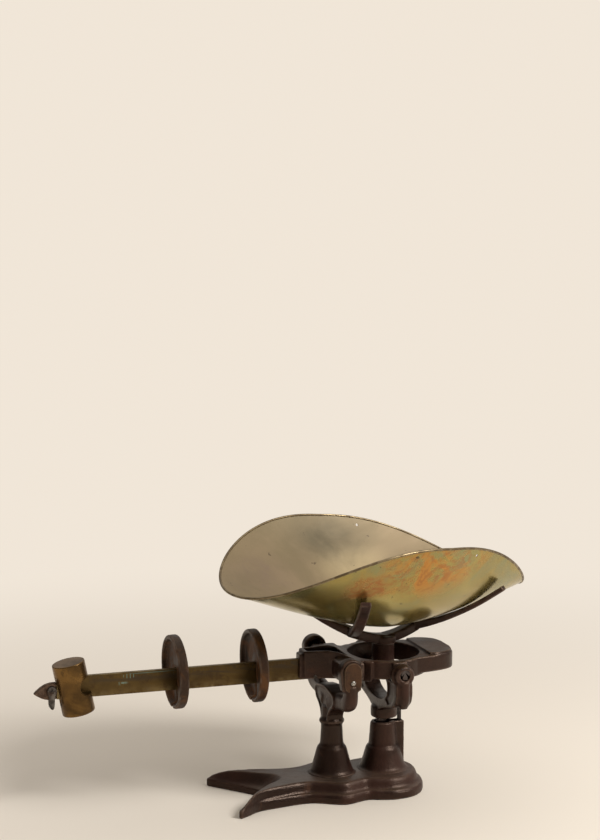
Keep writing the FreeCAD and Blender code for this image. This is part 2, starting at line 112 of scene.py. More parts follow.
def buildFloor():
    mesh = bpy.data.meshes.new("paperFloor")
    bm = bmesh.new()
    bmesh.ops.create_circle(bm, cap_ends=True, segments=64, radius=30)
    bm.to_mesh(mesh)
    bm.free()
    floor = bpy.data.objects.new("paperFloor", mesh)
    bpy.context.collection.objects.link(floor)
    mat = bpy.data.materials.new("paperSweep")
    mat.use_nodes = True
    tree = mat.node_tree
    shader = tree.nodes["Principled BSDF"]
    shader.inputs["Base Color"].default_value = (*studio["floor"], 1)
    shader.inputs["Roughness"].default_value = 0.9
    shader.inputs["Specular IOR Level"].default_value = 0.15
    glow = tree.nodes.new("ShaderNodeEmission")
    glow.inputs["Color"].default_value = (*studio["paper"], 1)
    coord = tree.nodes.new("ShaderNodeTexCoord")
    far = tree.nodes.new("ShaderNodeVectorMath")
    far.operation = "LENGTH"
    fade = tree.nodes.new("ShaderNodeMapRange")
    fade.interpolation_type = "SMOOTHSTEP"
    fade.inputs["From Min"].default_value, fade.inputs["From Max"].default_value = studio["floorFade"]
    blend = tree.nodes.new("ShaderNodeMixShader")
    tree.links.new(coord.outputs["Object"], far.inputs[0])
    tree.links.new(far.outputs["Value"], fade.inputs["Value"])
    tree.links.new(fade.outputs["Result"], blend.inputs[0])
    tree.links.new(shader.outputs[0], blend.inputs[1])
    tree.links.new(glow.outputs[0], blend.inputs[2])
    tree.links.new(blend.outputs[0], tree.nodes["Material Output"].inputs[0])
    mesh.materials.append(mat)


buildStudio()
buildWorld()
buildFloor()
print("studio ready")


# Effects that several materials share.

def startGroup(name, inputs, outputs):
    tree = bpy.data.node_groups.new(name, "ShaderNodeTree")
    for label, value in inputs:
        kind = "NodeSocketVector" if value is None else "NodeSocketFloat"
        socket = tree.interface.new_socket(label, in_out="INPUT", socket_type=kind)
        if value is not None:
            socket.default_value = value
    for label in outputs:
        tree.interface.new_socket(label, in_out="OUTPUT", socket_type="NodeSocketFloat")
    return tree, tree.nodes.new("NodeGroupInput"), tree.nodes.new("NodeGroupOutput")


def put(tree, kind, settings=None, **sockets):  # a node, its settings, and what goes into its sockets
    node = tree.nodes.new("ShaderNode" + kind)
    for key, value in (settings or {}).items():
        setattr(node, key, value)
    for label, value in sockets.items():
        target = node.inputs[int(label[1:])] if label[0] == "_" else node.inputs[label.replace("_", " ")]
        if isinstance(value, bpy.types.NodeSocket):
            tree.links.new(value, target)
        else:
            target.default_value = value
    return node


def sums(tree, operation, a, b, clamp=False):
    return put(tree, "Math", {"operation": operation, "use_clamp": clamp}, _0=a, _1=b).outputs[0]


def buildBlotches():  # soft-edged patches
    tree, given, result = startGroup(
        "blotches",
        [("Vector", None), ("Scale", 20), ("Detail", 4), ("Warp", 0.3), ("Low", 0.45), ("High", 0.6)],
        ["Mask"])
    cloud = put(tree, "TexNoise", Vector=given.outputs["Vector"], Scale=given.outputs["Scale"],
                Detail=given.outputs["Detail"], Roughness=0.6, Distortion=given.outputs["Warp"])
    edge = put(tree, "MapRange", {"interpolation_type": "SMOOTHSTEP"}, Value=cloud.outputs[0],
               From_Min=given.outputs["Low"], From_Max=given.outputs["High"])
    tree.links.new(edge.outputs[0], result.inputs["Mask"])
    return tree


def buildEdgeWear():  # rubbed edges, whose lighter colour is also a painted highlight along sharp edges and ridges, and dirt in the corners
    tree, given, result = startGroup("edgeWear", [("Vector", None), ("Reach", 0.05), ("Breakup", 90)],
                                     ["Wear", "Grime"])
    form = put(tree, "NewGeometry")
    breakup = put(tree, "TexNoise", Vector=given.outputs["Vector"], Scale=given.outputs["Breakup"], Detail=3)
    top = sums(tree, "ADD", given.outputs["Reach"], 0.5)
    low = sums(tree, "SUBTRACT", 0.5, given.outputs["Reach"])
    wearAndHighlight = put(tree, "MapRange", {"interpolation_type": "SMOOTHSTEP"}, Value=form.outputs["Pointiness"],
               From_Min=0.505, From_Max=top)
    grime = put(tree, "MapRange", {"interpolation_type": "SMOOTHSTEP"}, Value=form.outputs["Pointiness"],
                From_Min=0.492, From_Max=low)
    patch = put(tree, "MapRange", Value=breakup.outputs[0], From_Min=0.35, From_Max=0.6)
    tree.links.new(sums(tree, "MULTIPLY", wearAndHighlight.outputs[0], patch.outputs[0]), result.inputs["Wear"])
    tree.links.new(grime.outputs[0], result.inputs["Grime"])
    return tree


def buildSandSkin():  # the skin a sand mould leaves on cast iron
    tree, given, result = startGroup(
        "sandSkin", [("Vector", None), ("Grain", 900), ("Pits", 0.35)], ["Height"])
    fine = put(tree, "TexNoise", Vector=given.outputs["Vector"], Scale=given.outputs["Grain"], Detail=3)
    coarser = sums(tree, "MULTIPLY", given.outputs["Grain"], 0.12)
    slow = put(tree, "TexNoise", Vector=given.outputs["Vector"], Scale=coarser, Detail=4)
    wider = sums(tree, "MULTIPLY", given.outputs["Grain"], 0.3)
    cells = put(tree, "TexVoronoi", Vector=given.outputs["Vector"], Scale=wider)
    pit = put(tree, "MapRange", {"interpolation_type": "SMOOTHSTEP"}, Value=cells.outputs["Distance"],
              From_Min=0.0, From_Max=0.28, To_Min=-1.0, To_Max=0.0)
    height = sums(tree, "ADD", fine.outputs[0], sums(tree, "MULTIPLY", slow.outputs[0], 1.6))
    height = sums(tree, "ADD", height, sums(tree, "MULTIPLY", pit.outputs[0], given.outputs["Pits"]))
    tree.links.new(height, result.inputs["Height"])
    return tree


def buildDust():  # dust that has settled on what faces up
    tree, given, result = startGroup(
        "settledDust", [("Vector", None), ("Amount", 0.5), ("Scale", 60)], ["Dust"])
    side = put(tree, "TexCoord")
    up = put(tree, "SeparateXYZ", Vector=side.outputs["Normal"])
    lie = put(tree, "MapRange", {"interpolation_type": "SMOOTHSTEP"}, Value=up.outputs["Z"], From_Min=0.55,
              From_Max=1.0)
    patch = put(tree, "TexNoise", Vector=given.outputs["Vector"], Scale=given.outputs["Scale"], Detail=5)
    cover = sums(tree, "MULTIPLY", lie.outputs[0], patch.outputs[0])
    tree.links.new(sums(tree, "MULTIPLY", cover, given.outputs["Amount"], True), result.inputs["Dust"])
    return tree


def buildRubMarks():  # fine marks from years of polishing, along the piece's X
    tree, given, result = startGroup(
        "rubMarks", [("Vector", None), ("Scale", 40), ("Stretch", 22)], ["Height", "Streak"])
    squeeze = put(tree, "CombineXYZ", X=1.0, Y=given.outputs["Stretch"], Z=given.outputs["Stretch"])
    long = put(tree, "VectorMath", {"operation": "MULTIPLY"}, _0=given.outputs["Vector"],
               _1=squeeze.outputs[0])
    marks = put(tree, "TexNoise", Vector=long.outputs[0], Scale=given.outputs["Scale"], Detail=5,
                Roughness=0.7)
    streak = put(tree, "MapRange", {"interpolation_type": "SMOOTHSTEP"}, Value=marks.outputs[0],
                 From_Min=0.35, From_Max=0.7)
    tree.links.new(marks.outputs[0], result.inputs["Height"])
    tree.links.new(streak.outputs[0], result.inputs["Streak"])
    return tree


effects = {"blotches": buildBlotches(), "edgeWear": buildEdgeWear(), "sandSkin": buildSandSkin(),
           "settledDust": buildDust(), "rubMarks": buildRubMarks()}


def effect(tree, name, vector, **values):
    node = tree.nodes.new("ShaderNodeGroup")
    node.node_tree = effects[name]
    tree.links.new(vector, node.inputs["Vector"])
    for label, value in values.items():
        node.inputs[label].default_value = value
    return node


def startMaterial(name, metallic, specular=0.5):
    mat = bpy.data.materials.new(name)
    mat.use_nodes = True
    tree = mat.node_tree
    shader = tree.nodes["Principled BSDF"]
    shader.inputs["Metallic"].default_value = metallic
    shader.inputs["Specular IOR Level"].default_value = specular
    where = tree.nodes.new("ShaderNodeTexCoord").outputs["Object"]
    return mat, tree, shader, where


def tint(tree, under, over, mask, strength=1.0):  # one colour laid over another through a mask
    if strength != 1.0:
        mask = sums(tree, "MULTIPLY", mask, strength)
    node = put(tree, "Mix", {"data_type": "RGBA"}, _0=mask)
    for index, colour in ((6, under), (7, over)):
        if isinstance(colour, bpy.types.NodeSocket):
            tree.links.new(colour, node.inputs[index])
        else:
            node.inputs[index].default_value = (*colour, 1)
    return node.outputs[2]


def between(tree, mask, low, high):
    return put(tree, "MapRange", Value=mask, To_Min=low, To_Max=high).outputs[0]


def nearSpot(tree, where, centre, reach, soft=0.45):  # 1 at a spot, fading to 0 at its reach
    scale = [1 / r for r in reach]
    shift = [-c * k for c, k in zip(centre, scale)]
    moved = put(tree, "Mapping", Vector=where, Location=shift, Scale=scale)
    away = put(tree, "VectorMath", {"operation": "LENGTH"}, _0=moved.outputs[0])
    return put(tree, "MapRange", {"interpolation_type": "SMOOTHSTEP"}, Value=away.outputs["Value"],
               From_Min=1.0, From_Max=1.0 - soft * 2).outputs[0]


def emboss(tree, shader, height, distance, strength=1.0):
    bump = put(tree, "Bump", Height=height, Strength=strength, Distance=distance)
    tree.links.new(bump.outputs[0], shader.inputs["Normal"])


ironLook = {
    "paint": (0.0135, 0.0064, 0.0045), "warm": (0.031, 0.0118, 0.0082), "bareAndHighlit": (0.105, 0.068, 0.050),
    "rust": (0.060, 0.025, 0.013), "grime": (0.006, 0.0035, 0.0025), "dust": (0.22, 0.16, 0.112),
}


def makeIron(name, rustLow, rustHigh, dusty, smooth=(0.30, 0.46), look=ironLook, bareAndHighlit=0.8):
    mat, tree, shader, where = startMaterial(name, 0.0, 0.4)
    shader.inputs["Specular Tint"].default_value = (1.0, 0.74, 0.6, 1)
    slow = effect(tree, "blotches", where, Scale=16, Low=0.38, High=0.66)
    rust = effect(tree, "blotches", where, Scale=38, Detail=7, Warp=0.8, Low=rustLow, High=rustHigh)
    wearAndHighlight = effect(tree, "edgeWear", where, Reach=0.035)
    skin = effect(tree, "sandSkin", where, Grain=620)
    dust = effect(tree, "settledDust", where, Amount=dusty)
    colour = tint(tree, look["paint"], look["warm"], slow.outputs[0])
    colour = tint(tree, colour, look["rust"], rust.outputs[0], 0.8)
    colour = tint(tree, colour, look["grime"], wearAndHighlight.outputs["Grime"], 0.8)
    # worn bare edges, lighter also as a painted highlight along sharp edges and ridges
    colour = tint(tree, colour, look["bareAndHighlit"], wearAndHighlight.outputs["Wear"], bareAndHighlit)
    colour = tint(tree, colour, look["dust"], dust.outputs[0])
    tree.links.new(colour, shader.inputs["Base Color"])
    rough = between(tree, slow.outputs[0], *smooth)
    rough = sums(tree, "ADD", rough, sums(tree, "MULTIPLY", rust.outputs[0], 0.2), True)
    tree.links.new(rough, shader.inputs["Roughness"])
    emboss(tree, shader, skin.outputs[0], 0.00042, 0.75)
    return mat


rustyLook = {
    "paint": (0.016, 0.0085, 0.0048), "warm": (0.034, 0.0165, 0.0082), "bareAndHighlit": (0.17, 0.125, 0.095),
    "rust": (0.115, 0.048, 0.016), "grime": (0.007, 0.004, 0.002), "dust": (0.2, 0.15, 0.1),
}
castIron = makeIron("castIron", 0.56, 0.74, 0.30)
armIron = makeIron("armIron", 0.60, 0.78, 0.12)
discIron = makeIron("discIron", 0.42, 0.62, 0.15, (0.38, 0.55), rustyLook)
capIron = makeIron("capIron", 0.34, 0.56, 0.12, (0.45, 0.62), {
    "paint": (0.022, 0.0105, 0.0058), "warm": (0.037, 0.0165, 0.0084), "bareAndHighlit": (0.13, 0.088, 0.055),
    "rust": (0.065, 0.029, 0.012), "grime": (0.008, 0.005, 0.003), "dust": (0.2, 0.15, 0.1)})


def makeSteel(name, bright, dark, browned, smooth):
    mat, tree, shader, where = startMaterial(name, 0.85)
    patch = effect(tree, "blotches", where, Scale=110, Detail=6, Low=0.4, High=0.62)
    stain = effect(tree, "blotches", where, Scale=45, Detail=6, Warp=0.7, Low=0.5, High=0.7)
    marks = effect(tree, "rubMarks", where, Scale=180, Stretch=6)
    colour = tint(tree, bright, dark, patch.outputs[0])
    colour = tint(tree, colour, browned, stain.outputs[0], 0.75)
    tree.links.new(colour, shader.inputs["Base Color"])
    tree.links.new(between(tree, patch.outputs[0], *smooth), shader.inputs["Roughness"])
    emboss(tree, shader, marks.outputs["Height"], 0.0001, 0.5)
    return mat


steelGrey = makeSteel("steelGrey", bright=(0.17, 0.155, 0.14), dark=(0.05, 0.043, 0.038),
                      browned=(0.09, 0.05, 0.03), smooth=(0.26, 0.45))
brightSteel = makeSteel("brightSteel", bright=(0.42, 0.40, 0.37), dark=(0.20, 0.18, 0.16),
                        browned=(0.2, 0.13, 0.08), smooth=(0.22, 0.4))
rodSteel = makeSteel("rodSteel", bright=(0.09, 0.075, 0.07), dark=(0.035, 0.028, 0.026),
                     browned=(0.07, 0.036, 0.024), smooth=(0.35, 0.55))
tipIron = makeSteel("tipIron", bright=(0.17, 0.115, 0.082), dark=(0.085, 0.052, 0.036),
                    browned=(0.15, 0.08, 0.045), smooth=(0.4, 0.6))


def makeBarBronze():
    mat, tree, shader, where = startMaterial("barBronze", 0.78)
    cloud = effect(tree, "blotches", where, Scale=22, Detail=6, Warp=0.5, Low=0.35, High=0.68)
    stain = effect(tree, "blotches", where, Scale=60, Detail=8, Warp=1.0, Low=0.52, High=0.68)
    green = effect(tree, "blotches", where, Scale=190, Detail=6, Warp=0.6, Low=0.46, High=0.56)
    wearAndHighlight = effect(tree, "edgeWear", where, Reach=0.09)
    marks = effect(tree, "rubMarks", where, Scale=60, Stretch=14)
    colour = tint(tree, (0.122, 0.076, 0.022), (0.072, 0.043, 0.014), cloud.outputs[0])
    colour = tint(tree, colour, (0.062, 0.034, 0.013), stain.outputs[0], 0.7)
    colour = tint(tree, colour, (0.06, 0.045, 0.03), wearAndHighlight.outputs["Grime"], 0.9)
    colour = tint(tree, colour, (0.33, 0.25, 0.12), wearAndHighlight.outputs["Wear"], 0.6)
    along = put(tree, "SeparateXYZ", Vector=where)
    comb = sums(tree, "PINGPONG", along.outputs["X"], 0.002)
    comb = put(tree, "MapRange", {"interpolation_type": "SMOOTHSTEP"}, Value=comb, From_Min=0.0006,
               From_Max=0.0002)
    lines = nearSpot(tree, where, (-0.249, 0, 0.1626), (0.010, 0.02, 0.0036), 0.2)
    line = nearSpot(tree, where, (-0.222, 0, 0.1648), (0.038, 0.02, 0.0008), 0.3)
    flecks = nearSpot(tree, where, (-0.258, 0, 0.1545), (0.009, 0.02, 0.003), 0.4)
    verdigris = sums(tree, "MULTIPLY", comb.outputs[0], lines)
    verdigris = sums(tree, "MAXIMUM", verdigris, sums(tree, "MULTIPLY", line, 0.6))
    verdigris = sums(tree, "MAXIMUM", verdigris, sums(tree, "MULTIPLY", green.outputs[0], flecks), True)
    colour = tint(tree, colour, (0.20, 0.30, 0.24), verdigris, 0.9)
    tree.links.new(colour, shader.inputs["Base Color"])
    metal = sums(tree, "SUBTRACT", 0.78, sums(tree, "MULTIPLY", verdigris, 0.6))
    tree.links.new(metal, shader.inputs["Metallic"])
    tree.links.new(between(tree, marks.outputs["Streak"], 0.36, 0.5), shader.inputs["Roughness"])
    emboss(tree, shader, marks.outputs["Height"], 0.00012, 0.45)
    return mat


def makePoiseBrass():
    mat, tree, shader, where = startMaterial("poiseBrass", 0.85)
    cloud = effect(tree, "blotches", where, Scale=26, Detail=6, Warp=0.6, Low=0.34, High=0.66)
    stain = effect(tree, "blotches", where, Scale=70, Detail=8, Warp=1.2, Low=0.54, High=0.72)
    wearAndHighlight = effect(tree, "edgeWear", where, Reach=0.10)
    marks = effect(tree, "rubMarks", where, Scale=55, Stretch=9)
    colour = tint(tree, (0.20, 0.108, 0.030), (0.085, 0.046, 0.014), cloud.outputs[0])
    colour = tint(tree, colour, (0.06, 0.034, 0.014), stain.outputs[0], 0.75)
    colour = tint(tree, colour, (0.30, 0.36, 0.27), wearAndHighlight.outputs["Grime"], 0.5)
    colour = tint(tree, colour, (0.42, 0.29, 0.14), wearAndHighlight.outputs["Wear"], 0.6)
    tree.links.new(colour, shader.inputs["Base Color"])
    tree.links.new(between(tree, cloud.outputs[0], 0.24, 0.38), shader.inputs["Roughness"])
    emboss(tree, shader, marks.outputs["Height"], 0.0001, 0.4)
    return mat


def makeScoopInside():
    mat, tree, shader, where = startMaterial("scoopInside", 0.30, 0.3)
    cloud = effect(tree, "blotches", where, Scale=7, Detail=5, Warp=0.6, Low=0.34, High=0.68)
    haze = effect(tree, "blotches", where, Scale=15, Detail=7, Warp=0.5, Low=0.40, High=0.68)
    rosy = effect(tree, "blotches", where, Scale=24, Detail=8, Warp=0.9, Low=0.48, High=0.66)
    speck = effect(tree, "blotches", where, Scale=130, Detail=3, Warp=0.2, Low=0.70, High=0.74)
    marks = effect(tree, "rubMarks", where, Scale=24, Stretch=12)
    # shade and upper are painted shade on the far wall where it mirrors the dark room; glow is a painted
    # highlight low on the far wall
    shade = nearSpot(tree, where, (0.030, 0.105, 0.290), (0.085, 0.08, 0.052), 0.5)
    upper = nearSpot(tree, where, (0.01, 0.12, 0.31), (0.2, 0.14, 0.09), 0.5)
    foot = nearSpot(tree, where, (-0.087, 0.03, 0.262), (0.10, 0.09, 0.035), 0.5)
    glow = nearSpot(tree, where, (0.055, 0.085, 0.256), (0.075, 0.07, 0.036), 0.5)
    colour = tint(tree, (0.265, 0.195, 0.112), (0.225, 0.168, 0.092), cloud.outputs[0])
    colour = tint(tree, colour, (0.165, 0.130, 0.066), haze.outputs[0], 0.5)
    colour = tint(tree, colour, (0.155, 0.118, 0.058), upper, 0.6)
    glow = sums(tree, "MULTIPLY", glow, between(tree, haze.outputs[0], 1.0, 0.6))
    colour = tint(tree, colour, (0.41, 0.32, 0.175), glow, 0.85)
    shade = sums(tree, "MULTIPLY", shade, between(tree, haze.outputs[0], 0.6, 1.0))
    colour = tint(tree, colour, (0.070, 0.055, 0.027), shade, 0.85)
    foot = sums(tree, "MULTIPLY", foot, between(tree, rosy.outputs[0], 0.4, 1.0))
    colour = tint(tree, colour, (0.20, 0.140, 0.098), foot, 0.8)
    colour = tint(tree, colour, (0.07, 0.045, 0.025), speck.outputs[0], 0.8)
    tree.links.new(colour, shader.inputs["Base Color"])
    tree.links.new(between(tree, cloud.outputs[0], 0.42, 0.52), shader.inputs["Roughness"])
    emboss(tree, shader, marks.outputs["Height"], 0.00012, 0.3)
    return mat


def makeScoopOutside():
    mat, tree, shader, where = startMaterial("scoopOutside", 0.8)
    cloud = effect(tree, "blotches", where, Scale=9, Detail=5, Warp=0.7, Low=0.36, High=0.64)
    green = effect(tree, "blotches", where, Scale=14, Detail=7, Warp=0.8, Low=0.46, High=0.62)
    swirl = effect(tree, "blotches", where, Scale=46, Detail=9, Warp=2.6, Low=0.46, High=0.60)
    flame = effect(tree, "blotches", where, Scale=19, Detail=8, Warp=1.3, Low=0.42, High=0.56)
    speck = effect(tree, "blotches", where, Scale=140, Detail=3, Warp=0.2, Low=0.68, High=0.72)
    marks = effect(tree, "rubMarks", where, Scale=22, Stretch=10)
    band = nearSpot(tree, where, (0.080, -0.128, 0.290), (0.118, 0.085, 0.052), 0.35)
    patch = nearSpot(tree, where, (0.000, -0.128, 0.275), (0.040, 0.06, 0.026), 0.35)
    # glint is a painted highlight on the near side; dusk is a faint painted shade where the near side mirrors the
    # dark room
    glint = nearSpot(tree, where, (0.010, -0.104, 0.249), (0.055, 0.06, 0.022), 0.45)
    dusk = nearSpot(tree, where, (-0.055, -0.118, 0.262), (0.095, 0.06, 0.040), 0.4)
    colour = tint(tree, (0.40, 0.315, 0.085), (0.33, 0.265, 0.075), cloud.outputs[0])
    colour = tint(tree, colour, (0.27, 0.275, 0.125), green.outputs[0], 0.75)
    orange = sums(tree, "MULTIPLY", flame.outputs[0], between(tree, band, 0.06, 1.0))
    colour = tint(tree, colour, (0.55, 0.245, 0.045), orange, 0.9)
    stained = sums(tree, "MAXIMUM", between(tree, band, 0.04, 0.8), patch)
    red = sums(tree, "MULTIPLY", swirl.outputs[0], stained)
    colour = tint(tree, colour, (0.36, 0.135, 0.035), red, 0.72)
    blob = sums(tree, "MULTIPLY", patch, between(tree, flame.outputs[0], 0.5, 1.0))
    colour = tint(tree, colour, (0.40, 0.135, 0.03), blob, 0.9)
    colour = tint(tree, colour, (0.62, 0.50, 0.16), glint, 0.6)
    colour = tint(tree, colour, (0.15, 0.115, 0.035), dusk, 0.2)
    colour = tint(tree, colour, (0.06, 0.035, 0.02), speck.outputs[0], 0.8)
    tree.links.new(colour, shader.inputs["Base Color"])
    matt = sums(tree, "MULTIPLY", sums(tree, "MAXIMUM", orange, blob), 0.22)
    rough = sums(tree, "ADD", between(tree, cloud.outputs[0], 0.15, 0.25), matt, True)
    tree.links.new(rough, shader.inputs["Roughness"])
    emboss(tree, shader, marks.outputs["Height"], 0.0001, 0.2)
    return mat


def makeRimBrass():
    mat, tree, shader, where = startMaterial("rimBrass", 0.85)
    patch = effect(tree, "blotches", where, Scale=60, Detail=6, Warp=0.6, Low=0.4, High=0.62)
    wearAndHighlight = effect(tree, "edgeWear", where, Reach=0.08)
    colour = tint(tree, (0.27, 0.205, 0.115), (0.14, 0.10, 0.055), patch.outputs[0])
    colour = tint(tree, colour, (0.06, 0.04, 0.025), wearAndHighlight.outputs["Grime"], 0.8)
    tree.links.new(colour, shader.inputs["Base Color"])
    tree.links.new(between(tree, patch.outputs[0], 0.3, 0.46), shader.inputs["Roughness"])
    return mat


barBronze = makeBarBronze()
poiseBrass = makePoiseBrass()
scoopInside = makeScoopInside()
scoopOutside = makeScoopOutside()
rimBrass = makeRimBrass()
print("materials ready")


# The shaping tools below all work in millimetres.

def through(points, steps, closed=False):  # smooth line through given points
    pts = [Vector(p).to_3d() for p in points]
    count = len(pts)

    def heading(i):
        before = pts[i - 1] if closed or i > 0 else pts[i]
        after = pts[(i + 1) % count] if closed or i + 1 < count else pts[i]
        return (after - before).normalized()

    line = []
    for i in range(count if closed else count - 1):
        a, b = pts[i], pts[(i + 1) % count]
        reach = (b - a).length / 3
        handles = (a + heading(i) * reach, b - heading((i + 1) % count) * reach)
        line += interpolate_bezier(a, handles[0], handles[1], b, steps + 1)[:-1]
    return line if closed else line + [pts[-1]]


def addLoop(bm, points):
    verts = [bm.verts.new(p) for p in points]
    return [bm.edges.new((verts[i - 1], verts[i])) for i in range(len(verts))]


def skin(bm, rings, capped=True, closed=False):  # a surface over a row of loops
    loops = [addLoop(bm, ring) for ring in rings]
    pairs = list(zip(loops, loops[1:])) + ([(loops[-1], loops[0])] if closed else [])
    for a, b in pairs:
        bmesh.ops.bridge_loops(bm, edges=a + b)
    if capped and not closed:
        for loop in (loops[0], loops[-1]):
            bmesh.ops.edgeloop_fill(bm, edges=loop)


def turn(bm, profile, centre=(0, 0, 0), axis="z", steps=72):  # (radius, height) points spun round
    place = {"z": lambda r, h: (r, 0, h), "y": lambda r, h: (r, h, 0), "x": lambda r, h: (h, r, 0)}[axis]
    verts = [bm.verts.new(Vector(centre) + Vector(place(r, h))) for r, h in profile]
    edges = [bm.edges.new(pair) for pair in zip(verts, verts[1:])]
    bmesh.ops.spin(bm, geom=verts + edges, cent=centre, axis=[float(axis == a) for a in "xyz"],
                   angle=math.tau, steps=steps, use_merge=True, use_duplicate=False)


def rect(left, right, low, high):
    return [(left, low), (right, low), (right, high), (left, high)]


def slab(bm, outline, axis, low, high, bevel=0.0, segments=2):  # a flat outline pushed along an axis
    place = {"x": lambda a, b, c: (c, a, b), "y": lambda a, b, c: (a, c, b),
             "z": lambda a, b, c: (a, b, c)}[axis]
    face = bm.faces.new([bm.verts.new(place(p[0], p[1], low)) for p in outline])
    grown = bmesh.ops.extrude_face_region(bm, geom=[face])["geom"]
    verts = [g for g in grown if isinstance(g, bmesh.types.BMVert)]
    bmesh.ops.translate(bm, verts=verts, vec=place(0, 0, high - low))
    if bevel:
        edges = list({e for v in verts for f in v.link_faces for e in f.edges})
        bmesh.ops.bevel(bm, geom=edges, offset=bevel, segments=segments, profile=0.5, affect="EDGES",
                        material=-1)


def sweep(bm, path, sections, up=(0, 0, 1), closed=False):  # outlines carried along a path
    count = len(path)
    rings = []
    for i, point in enumerate(path):
        ahead = path[(i + 1) % count] if closed or i + 1 < count else point
        behind = path[i - 1] if closed or i > 0 else point
        along = (ahead - behind).normalized()
        side = along.cross(Vector(up)).normalized()
        lift = side.cross(along)
        rings.append([point + side * a + lift * b for a, b in sections[i]])
    skin(bm, rings, closed=closed)


def softBox(width, height, corner=0.35, steps=4):  # a rounded rectangle section
    points = []
    radius = min(width, height) * corner
    for cx, cy, start in ((1, 1, 0), (-1, 1, 90), (-1, -1, 180), (1, -1, 270)):
        for k in range(steps + 1):
            angle = math.radians(start + 90 * k / steps)
            points.append((cx * (width / 2 - radius) + radius * math.cos(angle),
                           cy * (height / 2 - radius) + radius * math.sin(angle)))
    return points


def arch(radius, top, bottom, half=None, steps=14):  # an arch section, half disc over a straight foot
    half = half or radius
    points = [(radius * math.cos(math.pi * k / steps), top - radius + radius * math.sin(math.pi * k / steps))
              for k in range(steps + 1)]
    return points + [(-half, bottom), (half, bottom)]


def drawn(name, draw):  # runs a drawing function into a new mesh object, with closed, outward shells
    bm = bmesh.new()
    draw(bm)
    bmesh.ops.remove_doubles(bm, verts=bm.verts, dist=0.001)
    bmesh.ops.recalc_face_normals(bm, faces=bm.faces)
    mesh = bpy.data.meshes.new(name)
    bm.to_mesh(mesh)
    bm.free()
    obj = bpy.data.objects.new(name, mesh)
    bpy.context.collection.objects.link(obj)
    return obj


def applied(obj):  # keeps what the modifiers make as the mesh itself
    bpy.context.view_layer.update()
    mesh = bpy.data.meshes.new_from_object(obj.evaluated_get(bpy.context.evaluated_depsgraph_get()))
    obj.modifiers.clear()
    old = obj.data
    obj.data = mesh
    bpy.data.meshes.remove(old)
    return obj


def melt(obj, voxel, rounds=0, factor=0.5):  # joins overlapping shells into one cast skin
    remesh = obj.modifiers.new("melt", "REMESH")
    remesh.mode = "VOXEL"
    remesh.voxel_size = voxel
    if rounds:
        soften = obj.modifiers.new("soften", "SMOOTH")
        soften.factor = factor
        soften.iterations = rounds
    return applied(obj)


def carve(obj, draw, solver="EXACT"):
    cutter = drawn("cutter", draw)
    cut = obj.modifiers.new("carve", "BOOLEAN")
    cut.operation = "DIFFERENCE"
    cut.solver = solver
    cut.object = cutter
    cut.use_self = False
    applied(obj)
    bpy.data.objects.remove(cutter)
    return obj


def finishPiece(obj, body, slot, materials, *nodes, flat=40):
    obj.data.transform(Matrix.Scale(0.001, 4))
    obj.data.materials.clear()
    for mat in materials:
        obj.data.materials.append(mat)
    bm = bmesh.new()
    bm.from_mesh(obj.data)
    for face in bm.faces:
        face.smooth = True
    for edge in bm.edges:
        edge.smooth = len(edge.link_faces) == 2 and edge.calc_face_angle(0) < math.radians(flat)
    bm.to_mesh(obj.data)
    bm.free()
    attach(obj, body)
    if nodes:
        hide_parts(*nodes)
    print(obj.name, "ready:", len(obj.data.polygons), "faces")
    return obj


def mirrored(points):  # the other half of a plan, mirrored in Y
    return [(x, -y) for x, y in reversed(points)]


def acrossY(points):  # the same for an upright outline, where Y comes first
    return [(-y, z) for y, z in reversed(points)]


loadX = 65  # the load knives' line, which the load pillar, the carrier and the spider stand on

base = {
    "bandSide": [(113, 0), (105, -31), (87, -51), (62, -57.5), (42, -53), (30, -49), (17, -53.5), (3, -58.5),
                 (-9, -56.5), (-25, -47), (-38, -41), (-54, -41), (-80, -46), (-106, -52.5), (-133, -71.5)],
    "bandNotch": [(-136.5, -68), (-128, -56), (-120, -46), (-112, -36), (-101, -22), (-88, 0)],
    "plateSide": [(101, 0), (94, -24), (80, -39), (62, -44.5), (43, -41), (30, -37.5), (18, -41), (3, -45.5),
                  (-8, -43.5), (-22, -36), (-36, -31), (-54, -31), (-80, -38), (-105, -47.5), (-128, -67.2)],
    "plateNotch": [(-129.5, -68), (-122, -59.5), (-114, -51.2), (-106, -43.2), (-90, -28.8), (-64, 0)],
    # height of the ridge over the feet, by X
    "ridge": [(-58, 24.6), (-90, 24.4), (-106, 23), (-114, 21.2), (-122, 18), (-130, 13), (-140, 12)],
    # share of the way from band to plate, and height
    "moulding": [(0, 0), (0, 7.4), (0.02, 8.3), (0.07, 8.5), (0.085, 9.3), (0.11, 10.6), (0.16, 11.5),
                 (0.27, 11.9), (0.40, 12.6), (0.50, 14.4), (0.58, 17.2), (0.66, 20.0), (0.76, 22.4),
                 (0.88, 23.8), (1.0, 24.6)],
    "notchMoulding": [(0, 0), (0, 7.4), (0.02, 8.3), (0.05, 8.5), (0.06, 8.6), (0.09, 8.8), (0.16, 9.4),
                      (0.27, 10.6), (0.40, 12.8), (0.53, 15.4), (0.66, 18.2), (0.78, 20.9), (0.88, 22.8),
                      (0.95, 23.9), (1.0, 24.6)],
    "bandTop": 8.9, "ridgeReach": 15.7,  # the band keeps its height, the ogee above it follows the ridge
    "hollow": (-48, 92, 27, 19), "rodHole": 10.5,
}


def ridgeHeight(x):
    line = base["ridge"]
    for (x1, z1), (x0, z0) in zip(line, line[1:]):
        if x > x0:
            return z1 + (z0 - z1) * min(max((x1 - x) / (x1 - x0), 0), 1)
    return line[-1][1]


